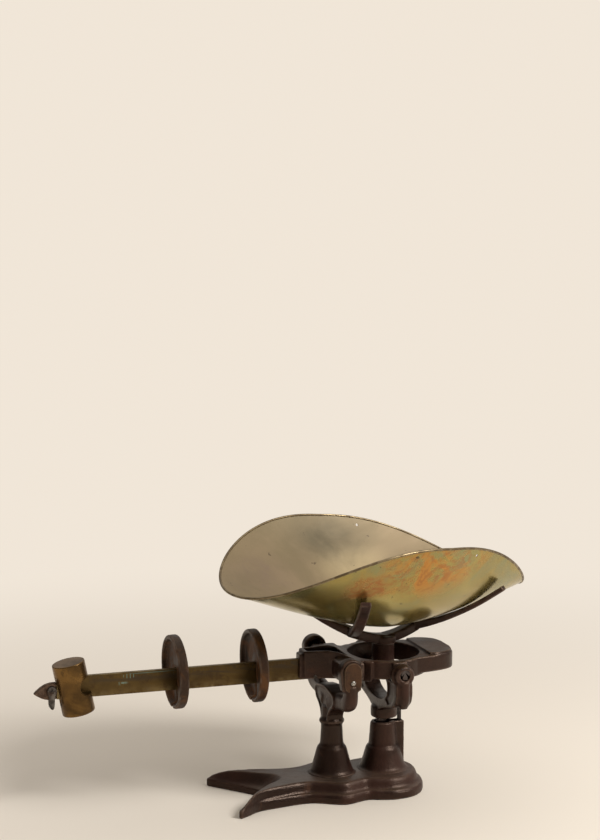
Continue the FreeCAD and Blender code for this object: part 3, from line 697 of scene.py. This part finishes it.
def drawBase(bm):
    band = base["bandSide"] + base["bandNotch"]
    plate = base["plateSide"] + base["plateNotch"]
    inner = [0] * len(base["bandSide"]) + [1] * len(base["bandNotch"])
    points = [(a[0], a[1], 0) for a in band + mirrored(band[1:-1])]
    tops = [(a[0], a[1], 0) for a in plate + mirrored(plate[1:-1])]
    inner = inner + inner[-2:0:-1]
    low, high = through(points, 5, True), through(tops, 5, True)
    steps = len(low) // len(inner)
    bandTop = base["bandTop"]
    rings = []
    for level, (outShare, outHeight) in enumerate(base["moulding"]):
        inShare, inHeight = base["notchMoulding"][level]
        ring = []
        for k, (a, b) in enumerate(zip(low, high)):
            here, ahead = inner[k // steps], inner[(k // steps + 1) % len(inner)]
            part = here + (ahead - here) * (k % steps) / steps
            p = a.lerp(b, outShare + (inShare - outShare) * part)
            height = outHeight + (inHeight - outHeight) * part
            if height >= bandTop:
                height = bandTop + (height - bandTop) * (ridgeHeight(b.x) - bandTop) / base["ridgeReach"]
            p.z = height
            ring.append(p)
        rings.append(ring)
    skin(bm, rings)


def carveBase(bm):
    left, right, half, roof = base["hollow"]
    slab(bm, rect(left, right, -half, half), "z", -4, roof)
    turn(bm, [(0, -4), (base["rodHole"], -4), (base["rodHole"], 40), (0, 40)], (loadX, 0, 0))


def addLug(bm):  # the two cheeks the check link hangs between
    for y in (-9.5, 3.5):
        slab(bm, rect(-8, 8, y, y + 6), "z", 0.2, 21)
    slab(bm, rect(-8, 8, -9.5, 9.5), "z", 0, 4.5)


def join(obj, other):
    bm = bmesh.new()
    bm.from_mesh(obj.data)
    bm.from_mesh(other.data)
    bm.to_mesh(obj.data)
    bm.free()
    bpy.data.objects.remove(other)
    return obj


baseCasting = drawn("baseCasting", drawBase)
carve(melt(baseCasting, 1.0, 1), carveBase)
join(baseCasting, drawn("lug", addLug))
melt(baseCasting, 1.0, 2)
finishPiece(baseCasting, "stand", "cast_iron", [castIron], "base", flat=80)

fulcrumPillar = {
    "column": [(0, 24), (31, 24), (30.4, 24.7), (27.8, 25.6), (26.2, 27), (25.1, 29.2), (23.6, 33.6), (21.8, 40),
               (20.2, 46), (18.9, 51), (17.9, 54.6),
               (16.8, 56.8), (15.2, 58.4), (14.1, 60), (13.8, 63), (12.8, 83), (13.2, 85), (14.8, 86.2),
               (15.5, 88), (15, 89.8), (13.4, 91.2), (12.3, 93), (12.2, 106), (0, 106)],
    "yoke": [(-12, 90), (-14, 98), (-21, 105), (-30, 110), (-35, 118), (-33, 125), (-24, 128.5),
             (-10, 130.5), (0, 131.5), (10, 130.5), (24, 128.5), (33, 125), (35, 118), (30, 110), (21, 105),
             (14, 98), (12, 90)],
    "yokeHalf": 10.5,
    "arm": [(-8, 112), (-24, 117), (-42, 120.5), (-56, 122), (-64.5, 126.5), (-67.2, 136), (-67, 148)],
    "armSize": [(19, 22), (20, 18), (20, 15.5), (20, 15.5), (20.4, 16.5), (21, 15), (22, 13.6)],
    "hood": (14.4, 178.3, 140, 60.1, 73.9), "cavity": (9.6, 173, 147),
}


def bothWays(draw, bm):  # draws the -Y side and mirrors it across
    half = bmesh.new()
    draw(half)
    bmesh.ops.remove_doubles(half, verts=half.verts, dist=0.001)
    bmesh.ops.recalc_face_normals(half, faces=half.faces)
    bmesh.ops.mirror(half, geom=half.verts[:] + half.edges[:] + half.faces[:], axis="Y", merge_dist=0)
    mesh = bpy.data.meshes.new("half")
    half.to_mesh(mesh)
    half.free()
    bm.from_mesh(mesh)
    bpy.data.meshes.remove(mesh)


def drawFulcrumSide(bm):
    look = fulcrumPillar
    path = through([(0, y, z) for y, z in look["arm"]], 4)
    sizes = through([(w, h, 0) for w, h in look["armSize"]], 4)
    sweep(bm, path, [softBox(s.x, s.y, 0.42) for s in sizes], up=(1, 0, 0.001))
    radius, top, bottom, inner, outer = look["hood"]
    slab(bm, arch(radius, top, bottom, radius - 3), "y", -outer, -inner, 1.8, 3)


def drawFulcrumPillar(bm):
    turn(bm, fulcrumPillar["column"])
    half = fulcrumPillar["yokeHalf"]
    face = bm.faces.new([bm.verts.new((-half, y, z)) for y, z in fulcrumPillar["yoke"]])
    grown = bmesh.ops.extrude_face_region(bm, geom=[face])["geom"]
    bmesh.ops.translate(bm, verts=[g for g in grown if isinstance(g, bmesh.types.BMVert)],
                        vec=(2 * half, 0, 0))
    bm.normal_update()
    cheeks = [f for f in bm.faces if len(f.verts) == len(fulcrumPillar["yoke"])]
    bmesh.ops.recalc_face_normals(bm, faces=bm.faces)
    bmesh.ops.inset_region(bm, faces=cheeks, thickness=2.4)
    bmesh.ops.inset_region(bm, faces=cheeks, thickness=1.0, depth=-2.0)  # the sunk panel between the ribs
    bothWays(drawFulcrumSide, bm)


def carveHoods(bm):
    radius, top, bottom = fulcrumPillar["cavity"]
    for low, high in ((-80, -59), (59, 80)):
        slab(bm, arch(radius, top, bottom), "y", low, high)


fulcrumCasting = drawn("fulcrumCasting", drawFulcrumPillar)
carve(melt(fulcrumCasting, 1.1, 5), carveHoods)
melt(fulcrumCasting, 1.0, 2)
finishPiece(fulcrumCasting, "stand", "cast_iron", [castIron], "fulcrum_pillar", flat=80)

loadPillar = {
    "column": [(0, 24), (33, 24), (32.2, 24.7), (29.6, 25.6), (28, 27), (26.9, 29.2), (25.2, 34), (23, 41),
               (21.3, 47), (20.4, 50), (19.2, 51.9), (17.7, 53),
               (17.0, 54.6), (16.8, 57), (15.1, 78.5), (14.7, 80.6), (13.8, 81.8), (12.4, 82), (0, 82)],
    "pocket": (90.4, 6.9), "bore": 10.3, "slot": (88.7, 4.5),
}


def drawLoadPillar(bm):
    turn(bm, loadPillar["column"], (loadX, 0, 0))
    right, half = loadPillar["pocket"]
    slab(bm, rect(loadX, right, -half, half), "z", 24, 81.9, 1.2, 3)


def carveBore(bm):
    bore = loadPillar["bore"]
    turn(bm, [(0, 20), (bore, 20), (bore, 90), (0, 90)], (loadX, 0, 0), steps=48)


def carveSlot(bm):
    right, half = loadPillar["slot"]
    slab(bm, rect(66, right, -half, half), "z", 36, 91)


loadCasting = drawn("loadCasting", drawLoadPillar)
carve(carve(melt(loadCasting, 1.0, 4), carveBore), carveSlot)
melt(loadCasting, 0.9, 2)
finishPiece(loadCasting, "stand", "cast_iron", [castIron], "load_pillar", flat=80)

bearingCap = {
    "radius": 10.6, "top": 175.3, "inner": 74.05, "outer": 77.1, "screwHeight": 151.5, "screwSlot": 0.45,
    "foot": [(-10.6, 148), (-8.8, 143.4), (-5.6, 140.4), (5.6, 140.4), (8.8, 143.4), (10.6, 148)],
    "screw": [(0, 78.9), (1.6, 78.8), (2.5, 78.3), (3.0, 77.6), (3.05, 77.15), (1.6, 77.1), (1.6, 68.5),
              (0, 68.2)],
}


def drawCap(bm):
    outline = arch(bearingCap["radius"], bearingCap["top"], 147)[:-2] + bearingCap["foot"]
    slab(bm, outline, "y", -bearingCap["outer"], -bearingCap["inner"], 0.8, 3)


def drawScrew(bm):
    turn(bm, [(r, -y) for r, y in bearingCap["screw"]], (0, 0, bearingCap["screwHeight"]), "y", 40)


def carveScrewSlots(bm):
    z, half = bearingCap["screwHeight"], bearingCap["screwSlot"]
    for y in (-80, 78.2):
        slab(bm, rect(-4, 4, z - half, z + half), "y", y, y + 1.8)


bearingCaps = drawn("bearingCaps", lambda bm: bothWays(drawCap, bm))
melt(bearingCaps, 0.55, 3)
finishPiece(bearingCaps, "stand", "rusted_iron", [capIron], "bearing_cap_near", "bearing_cap_far",
            flat=80)
capScrews = drawn("capScrews", lambda bm: bothWays(drawScrew, bm))
carve(capScrews, carveScrewSlots)
finishPiece(capScrews, "stand", "steel", [brightSteel], "cap_screws")
print("stand ready")


beamCasting = {
    "trough": [(-38.4, -10.6), (-26, -12.4), (-12, -15.4), (-2, -20), (8, -27.5), (20, -38), (34, -48)],
    "ringOuter": (50.8, 56.8), "ringInner": (42.6, 48.4), "ringFrom": 146.2, "ringTo": 168,
    "pad": [(84, -50), (104, -46.6), (122, -42.6), (136, -36.6), (143.2, -28.5), (146.8, -15)],
    "padFrom": 149, "padTo": 168.6, "bossTo": 171.4,
    "boss": [(110, -40), (120, -41.5), (134, -36), (141.8, -27.6), (145.2, -14.5)],
    "cavity": [(-33.4, -7.4), (-20, -9.6), (-10, -12.2), (0, -17), (8, -22), (13, -22.5)],
    # left, right, inner and outer Y, bottom and top
    "knifeBoss": (-8.3, 22, 22, 55.3, 147.6, 169.2), "loadBoss": (56.2, 73.8, 48, 60.3, 147.2, 167.4),
    "barRoom": 3.05,
}


def ellipse(centre, semi, steps=96):
    return [(centre + semi[0] * math.cos(math.tau * k / steps), semi[1] * math.sin(math.tau * k / steps))
            for k in range(steps)]


def bothHalves(points, steps=4):  # a plan drawn on the -Y side, smoothed and closed over to +Y
    near = [(p.x, p.y) for p in through(points, steps)]
    return near + mirrored(near)


def drawBeamCasting(bm):
    look = beamCasting
    slab(bm, bothHalves(look["trough"]), "z", 143.2, 176.9)
    slab(bm, ellipse(loadX, look["ringOuter"]), "z", look["ringFrom"], look["ringTo"])
    slab(bm, bothHalves(look["pad"]), "z", look["padFrom"], look["padTo"])
    for x0, x1, y0, y1, z0, z1 in (look["knifeBoss"], look["loadBoss"]):
        for a, b in ((-y1, -y0), (y0, y1)):
            slab(bm, rect(x0, x1, a, b), "z", z0, z1, 1.6, 2)
    slab(bm, rect(-42.9, -37, -7.8, 7.8), "z", 143.1, 173.1)  # the bracket that grips the bar


def carveBeamTop(bm):  # the trough's rim slopes down to the ring
    line = [(-60, 200), (-60, 176.7), (-8, 176.7), (2, 175.2), (10, 172.2), (18, 169.2), (26, 167.9), (40, 167.8),
            (40, 200)]
    slab(bm, line, "y", -60, 60)


def carveBeamInside(bm):
    slab(bm, bothHalves(beamCasting["cavity"]), "z", 150.5, 190)
    slab(bm, ellipse(loadX, beamCasting["ringInner"]), "z", 130, 190)


def carveBarRoom(bm):
    half = beamCasting["barRoom"]
    slab(bm, rect(-60, -5.9, 141.2, 166.8), "y", -half, half)


def drawBoss(bm):
    slab(bm, bothHalves(beamCasting["boss"]), "z", 167, beamCasting["bossTo"], 0.5, 2)


beamIron = drawn("beamIron", drawBeamCasting)
melt(beamIron, 1.2, 1)
carve(beamIron, carveBeamTop)
carve(beamIron, carveBeamInside)
join(beamIron, drawn("boss", drawBoss))
melt(beamIron, 1.05, 3)
carve(beamIron, carveBarRoom)
finishPiece(beamIron, "beam", "cast_iron", [castIron], "beam_casting", flat=60)

bar = {
    "left": -335, "right": -6, "low": 141.3, "high": 166.7, "half": 3.0, "bevel": 0.45,
    "ticksFrom": -296, "ticksTo": -50, "tickStep": 4.0, "tickWidth": 0.34, "tickDepth": 0.28,
    "short": 3.4, "middle": 5.0, "long": 6.8, "tickGap": 1.6,
}


def drawBar(bm):
    outline = rect(bar["left"], bar["right"], bar["low"], bar["high"])
    slab(bm, outline, "y", -bar["half"], bar["half"], bar["bevel"], 2)


def carveTicks(bm):  # a plain row of graduation marks on both faces
    count = int((bar["ticksTo"] - bar["ticksFrom"]) / bar["tickStep"])
    for k in range(count + 1):
        x = bar["ticksFrom"] + k * bar["tickStep"]
        tall = bar["long"] if k % 10 == 0 else bar["middle"] if k % 5 == 0 else bar["short"]
        for y in (-bar["half"], bar["half"]):
            place = Matrix.Translation((x, y, bar["high"] - bar["tickGap"] - tall / 2))
            size = Matrix.Diagonal((bar["tickWidth"], 2 * bar["tickDepth"], tall, 1))
            bmesh.ops.create_cube(bm, size=1, matrix=place @ size)


beamBar = drawn("beamBar", drawBar)
carve(beamBar, carveTicks)
finishPiece(beamBar, "beam", "bronze_bar", [barBronze], "beam_bar", flat=30)

tip = {
    "leaf": [(-362, 149.2), (-358.6, 152.6), (-353.4, 156.8), (-348, 159.8), (-342, 161.3), (-334.9, 161.4),
             (-334.9, 141.5), (-341, 141.2), (-347, 141.5), (-353, 143.6), (-358, 146.6)],
    "half": 2.9, "pin": (-340.6, 151.5),
}


def drawLeaf(bm):
    slab(bm, tip["leaf"], "y", -tip["half"], tip["half"], 1.5, 3)


beamTip = drawn("beamTip", drawLeaf)
melt(beamTip, 0.5, 3)
finishPiece(beamTip, "beam", "rusted_iron", [tipIron], "beam_tip", flat=80)

stirrup = {
    "cheek": [(0, 6.1), (2.9, 5.3), (5.0, 3.4), (6.0, 0.6), (5.5, -2.6), (4.0, -5.4), (3.1, -9), (2.9, -13),
              (2.7, -17), (1.9, -20.2), (0, -21.7), (-1.9, -20.2), (-2.7, -17), (-2.9, -13), (-3.1, -9),
              (-4.0, -5.4), (-5.5, -2.6), (-6.0, 0.6), (-5.0, 3.4), (-2.9, 5.3)],
    "inner": 3.65, "outer": 5.95, "bridge": 2.3, "eye": 2.1,
    "pinHead": [(0, 6.95), (1.3, 6.8), (1.95, 6.3)],
}


def drawStirrupSide(bm):
    x, z = tip["pin"]
    cheek = [(x + a, z + b) for a, b in stirrup["cheek"]]
    slab(bm, cheek, "y", -stirrup["outer"], -stirrup["inner"], 0.7, 3)
    bridge = stirrup["bridge"]
    turn(bm, [(0, -5.9), (bridge, -5.9), (bridge, 0.2), (0, 0.2)], (x, 0, z - 19), "y", 32)


def carveStirrup(bm):
    x, z = tip["pin"]
    eye = stirrup["eye"]
    turn(bm, [(0, -9), (eye, -9), (eye, 9), (0, 9)], (x, 0, z), "y", 40)


stirrupEye = drawn("stirrupEye", lambda bm: bothWays(drawStirrupSide, bm))
carve(melt(stirrupEye, 0.42, 3), carveStirrup)
finishPiece(stirrupEye, "stirrup", "steel", [steelGrey], "stirrup", flat=50)


def drawPin(bm):
    x, z = tip["pin"]
    head = stirrup["pinHead"]
    turn(bm, [(r, -y) for r, y in head] + [(head[-1][0], 0)] + head[::-1], (x, 0, z), "y", 40)


stirrupPin = drawn("stirrupPin", drawPin)
finishPiece(stirrupPin, "beam", "steel", [steelGrey], "stirrup_pin")
print("beam ready")


disc = {
    "outerLeft": -199.1, "innerLeft": -102.6, "height": 162.5, "lean": -1.5,
    # radius and distance from the left face, from the hub out, over the rim and back
    "section": [(0, 6.4), (14, 6.4), (17, 6.6), (30, 6.7), (34.6, 6.5), (36.6, 5.6), (37.5, 3.8),
                (38.0, 1.6), (38.6, 0.5), (39.8, 0.1), (41.9, 0.1), (42.9, 0.7), (43.3, 1.9), (43.35, 5.7),
                (43.3, 9.6), (42.8, 10.9), (41.6, 11.4), (36, 11.3), (34, 10.7), (30, 10.4), (0, 10.4)],
    "slotHalf": 4.0, "slotTop": 167.05, "middle": 5.75,
}


def makeDisc(node, left, name, body):
    section = [(r, left + d) for r, d in disc["section"]]
    half, top = disc["slotHalf"], disc["slotTop"]
    obj = melt(drawn(name, lambda bm: turn(bm, section, (0, 0, disc["height"]), "x", 128)), 0.8, 2)
    carve(obj, lambda bm: slab(bm, rect(left - 3, left + 15, 90, top), "y", -half, half))
    melt(obj, 0.75, 2)
    hang = Vector((left + disc["middle"], 0, top))  # it leans about the end of its slot
    lean = Matrix.Rotation(math.radians(disc["lean"]), 4, "Y")
    obj.data.transform(Matrix.Translation(hang) @ lean @ Matrix.Translation(-hang))
    finishPiece(obj, body, "rusted_iron", [discIron], node, flat=80)


makeDisc("disc_weight_outer", disc["outerLeft"], "outerDisc", "disc_outer")
makeDisc("disc_weight_inner", disc["innerLeft"], "innerDisc", "disc_inner")

poise = {
    "centre": (-314.6, 0, 153.6), "lean": -11.5, "radius": 19.15, "half": 30.4, "slot": (4.0, 17.7),
    "notch": (10.3, 14.9),
}


def drawPoise(bm):
    r, h = poise["radius"], poise["half"]
    turn(bm, [(0, -h), (r - 0.9, -h), (r - 0.25, -h + 0.3), (r, -h + 0.95), (r, h - 0.95), (r - 0.25, h - 0.3),
              (r - 0.9, h), (0, h)], steps=144)


def carvePoiseSlot(bm):
    half, tall = poise["slot"]
    slab(bm, rect(-30, 30, -half, half), "z", -tall, tall)


def carvePoiseNotch(bm):
    radius, out = poise["notch"]
    turn(bm, [(0, -30), (radius, -30), (radius, 30), (0, 30)], (out, 0, 0), "y", 64)


poiseDrum = drawn("poiseDrum", drawPoise)
carve(poiseDrum, carvePoiseSlot)
carve(poiseDrum, carvePoiseNotch)
melt(poiseDrum, 0.55, 2)
poiseLean = Matrix.Rotation(math.radians(poise["lean"]), 4, "Y")
poiseDrum.data.transform(Matrix.Translation(poise["centre"]) @ poiseLean)
finishPiece(poiseDrum, "poise", "poise_brass", [poiseBrass], "poise", flat=80)
print("weights ready")


carrier = {
    "boss": [(0, 87.3), (14.2, 87.3), (15.4, 88), (16, 89.6), (16, 99), (15.6, 100.8), (14.2, 101.9), (0, 102)],
    "bossAt": 66.5,
    "stem": [(0, 142), (15.2, 142), (15.0, 146), (14.2, 150), (13.6, 155), (13.4, 181.9), (0, 182)],
    # outline of the yoke on the -Y side, from the boss round under the elbow and back over the window's top
    "yoke": [(-8, 97), (-14, 99.6), (-22, 103), (-30, 105.6), (-44, 109.2), (-54, 111.6), (-61, 113.4),
             (-67, 116.6), (-72, 121.5), (-74.6, 129), (-74.8, 138), (-74, 146), (-63, 146), (-60, 144.6),
             (-46, 144.4), (-42.5, 147), (-38, 150), (-16, 151.5)],
    "window": [(0, 113.2), (-10, 113.6), (-22, 115.4), (-33, 119.4), (-39.4, 125), (-41, 131),
               (-40.6, 137), (-36.5, 141.6), (-28, 143), (0, 143.2)],
    # the sunk panel's outer side; its inner side follows the window
    "panel": [(-44, 142), (-58, 142.2), (-61, 142), (-62.6, 134), (-63, 127), (-61, 121), (-55, 116.6),
              (-44, 113)],
    "half": 10.3, "sink": 1.8,
    "cheek": [(-66, 118), (-70.2, 124), (-70.6, 132), (-69.8, 147)],
    "cheekSize": [(17, 12), (16.6, 12), (17, 11.5), (19, 12)],
    "ear": [(0, -76.7), (9.2, -76.7), (10.6, -76.3), (11.7, -75.2), (12.2, -73), (12.4, -66), (12.2, -63.2),
            (11.4, -62.4), (10, -62.1), (0, -62.1)],
    "hood": [(0, -70.6), (12.9, -70.6), (13.8, -70), (14.0, -68.6), (14.0, -64.6), (13.6, -63),
             (12.4, -62.2), (0, -62.2)],
    "earHeight": 154, "eye": 6.1,
}


def drawYoke(bm):
    half = carrier["half"]
    slab(bm, carrier["yoke"] + acrossY(carrier["yoke"]), "x", loadX - half, loadX + half)


def drawYokePanels(bm):  # the sunk panels on both faces of the yoke's arms
    look = carrier
    panel = [(y - 2.4, z - 1.2) for y, z in look["window"][3:7]] + look["panel"]
    for x in (loadX - look["half"] - 3, loadX + look["half"] - look["sink"]):
        for side in (1, -1):
            slab(bm, [(side * y, z) for y, z in panel], "x", x, x + 3 + look["sink"])


def carveWindow(bm):
    near = carrier["window"]
    slab(bm, near + acrossY(near[1:-1]), "x", 40, 90)


def drawCarrierSide(bm):
    look = carrier
    path = through([(loadX, y, z) for y, z in look["cheek"]], 4)
    sizes = through([(w, h, 0) for w, h in look["cheekSize"]], 4)
    sweep(bm, path, [softBox(s.x, s.y, 0.42) for s in sizes], up=(1, 0, 0.001))
    turn(bm, look["ear"], (loadX, 0, look["earHeight"]), "y", 64)
    turn(bm, look["hood"], (loadX - 1, 0, look["earHeight"] - 0.3), "y", 64)


def drawCarrier(bm):
    turn(bm, carrier["boss"], (carrier["bossAt"], 0, 0))
    turn(bm, carrier["stem"], (loadX, 0, 0))
    bothWays(drawCarrierSide, bm)


def carveEyes(bm):
    eye, centre = carrier["eye"], (loadX, 0, carrier["earHeight"] + 0.6)
    for y in (-80, 58):
        turn(bm, [(0, y), (eye, y), (eye, y + 22), (0, y + 22)], centre, "y", 48)


carrierYoke = drawn("yoke", drawYoke)
carve(carve(melt(carrierYoke, 1.2, 3), carveWindow), drawYokePanels)
carrierIron = join(drawn("carrierIron", drawCarrier), carrierYoke)
carve(melt(carrierIron, 1.0, 4), carveEyes)
melt(carrierIron, 0.95, 2)
finishPiece(carrierIron, "carrier", "cast_iron", [armIron], "carrier", flat=80)

rods = {
    "check": (63, 6.45, 20.5, 99),  # X, radius, bottom and top
    # left, right, half width, bottom and top
    "blade": (84.05, 87.95, 2.45, 42.2, 108.8), "foot": (75.6, 87.9, 2.45, 103.6, 108.8),
}


def drawCheckRod(bm):
    x, radius, low, high = rods["check"]
    shaft = [(0, low), (radius - 0.4, low), (radius, low + 0.5), (radius, high), (0, high)]
    turn(bm, shaft, (x, 0, 0), steps=48)
    slab(bm, rect(59, 70, -6.4, 6.4), "z", 20.2, 27, 0.4, 2)
    for y in (-6.4, 3.1):  # the fork's two prongs
        slab(bm, rect(60.2, 69.8, y, y + 3.3), "z", 5.7, 26, 0.3, 2)


def drawGuideBar(bm):
    for x0, x1, half, z0, z1 in (rods["blade"], rods["foot"]):
        slab(bm, rect(x0, x1, -half, half), "z", z0, z1, 0.4, 2)


finishPiece(drawn("checkRod", drawCheckRod), "carrier", "steel", [rodSteel], "check_rod")
finishPiece(drawn("guideBar", drawGuideBar), "carrier", "steel", [rodSteel], "guide_bar")

spider = {
    "root": [(0, 3.5), (20, 5.5), (36, 9.8), (50, 14.3)],
    "rootSize": [(18, 9), (16, 11.6), (15, 12), (14, 11.8)],
    "armFrom": 47, "armTip": (107.2, 91.4), "armRise": (14.4, 71),
    "armSize": [(14, 11.8), (13.5, 8.2), (13, 6.4), (13, 6), (12.6, 6)],
    "hub": [(0, -2.9), (13.6, -2.9), (14.8, -1.8), (15, 0), (15, 5.4), (13.8, 6.8), (0, 7)],
    "yaw": 20, "lean": 2.6, "place": (loadX, 0, 180.7),
}


def drawSpider(bm):
    start, (tipX, tipY), (low, high) = spider["armFrom"], spider["armTip"], spider["armRise"]
    turn(bm, spider["hub"])
    for side in (-1, 1):
        path = through([(side * x, 0, z) for x, z in spider["root"]], 3)
        sizes = through([(w, h, 0) for w, h in spider["rootSize"]], 3)
        sweep(bm, path, [softBox(s.x, s.y, 0.2, 2) for s in sizes])
        for near in (-1, 1):
            path = []
            for k in range(5):
                t = k / 4
                x = start + (tipX - start) * t
                rise = low + (high - low) * (0.45 * t + 0.55 * t * t)
                path.append((side * x, near * tipY * t, rise))
            sizes = through([(w, h, 0) for w, h in spider["armSize"]], 3)
            sweep(bm, through(path, 3), [softBox(s.x, s.y, 0.2, 2) for s in sizes])


spiderIron = drawn("spiderIron", drawSpider)
melt(spiderIron, 0.95, 3)
spiderTurn = (Matrix.Rotation(math.radians(spider["lean"]), 4, "Y")
              @ Matrix.Rotation(math.radians(spider["yaw"]), 4, "Z"))
spiderIron.data.transform(Matrix.Translation(spider["place"]) @ spiderTurn)
finishPiece(spiderIron, "carrier", "cast_iron", [armIron], "spider", flat=80)

scoop = {
    "centre": (51.4, -11.5, 207.2), "yaw": 16.5, "pitch": 5.6, "length": 205, "width": 134, "taper": 0.187,
    "side": 110.4, "sidePower": 2.135, "end": 40, "endPower": 1.5, "endTaper": 0.106, "belly": 5.0,
    "gauge": 0.9, "lift": 0.05, "sheetInset": 1.6, "rings": 60, "spokes": 240,
    "bead": 1.45, "beadInset": 1.9, "beadUp": 0.5, "holeAt": 0.235, "holeOut": 0.925, "hole": 1.6,
}


def scoopPoint(u, w):
    rise = scoop["side"] * abs(w) ** scoop["sidePower"]
    rise += scoop["end"] * abs(u) ** scoop["endPower"] * (1 + scoop["endTaper"] * u)
    rise -= scoop["belly"] * (1 - u * u - w * w) ** 2
    return Vector((scoop["length"] * u, scoop["width"] * w * (1 - scoop["taper"] * u), rise))


def scoopNormal(u, w, step=0.001):
    along = scoopPoint(u + step, w) - scoopPoint(u - step, w)
    return along.cross(scoopPoint(u, w + step) - scoopPoint(u, w - step)).normalized()


scoopPlace = (Matrix.Translation(scoop["centre"]) @ Matrix.Rotation(math.radians(scoop["yaw"]), 4, "Z")
              @ Matrix.Rotation(math.radians(scoop["pitch"]), 4, "Y"))


def drawSheet(bm):  # a spun disc, then every point lifted onto the scoop's form
    edge = 1 - scoop["sheetInset"] / scoop["length"]
    count = scoop["rings"]
    turn(bm, [(edge * k / count, 0) for k in range(count + 1)], steps=scoop["spokes"])
    bmesh.ops.remove_doubles(bm, verts=bm.verts, dist=0.00001)
    for vert in bm.verts:
        u, w = vert.co.x, vert.co.y
        vert.co = scoopPoint(u, w) + scoopNormal(u, w) * scoop["lift"]
    bmesh.ops.recalc_face_normals(bm, faces=bm.faces)
    bm.normal_update()
    up = sum(f.normal.z for f in bm.faces) > 0
    bmesh.ops.solidify(bm, geom=bm.faces[:], thickness=-scoop["gauge"] if up else scoop["gauge"])


def carveHoles(bm):
    for side in (-1, 1):
        spot = scoopPoint(scoop["holeAt"], side * scoop["holeOut"])
        turn(bm, [(0, -20), (scoop["hole"], -20), (scoop["hole"], 20), (0, 20)], spot, "y", 24)


def drawBead(bm):
    count = scoop["spokes"]
    inset = 1 - scoop["beadInset"] / scoop["length"]
    path = []
    for k in range(count):
        angle = math.tau * k / count
        u, w = inset * math.cos(angle), inset * math.sin(angle)
        path.append(scoopPoint(u, w) + scoopNormal(u, w) * scoop["beadUp"])
    ring = [(scoop["bead"] * math.cos(math.tau * k / 14), scoop["bead"] * math.sin(math.tau * k / 14))
            for k in range(14)]
    sweep(bm, path, [ring] * count, closed=True)


scoopSheet = drawn("scoopSheet", drawSheet)
carve(scoopSheet, carveHoles)
scoopSheet.data.transform(scoopPlace)
middle = scoopPlace @ Vector((0, 0, 140))
finishPiece(scoopSheet, "scoop", "scoop_brass", [scoopOutside, scoopInside], "scoop", flat=50)
for face in scoopSheet.data.polygons:
    face.material_index = int(face.normal.dot(middle * 0.001 - face.center) > 0)
scoopBead = drawn("scoopBead", drawBead)
scoopBead.data.transform(scoopPlace)
finishPiece(scoopBead, "scoop", "scoop_brass", [rimBrass], "scoop_rim", flat=80)
print("scoop ready")

plainNodes = {
    steelGrey: ["fulcrum_knives", "fulcrum_bearing_near", "fulcrum_bearing_far", "link_pin_fixed",
                "link_pin_moving", "bar_rivets", "pillar_screws"],
    rodSteel: ["check_link", "load_bearing_near", "load_bearing_far", "load_knives"],
}
for mat, names in plainNodes.items():
    for name in names:
        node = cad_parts[name]
        node.data.materials.clear()
        node.data.materials.append(mat)
print("carried-over nodes finished")
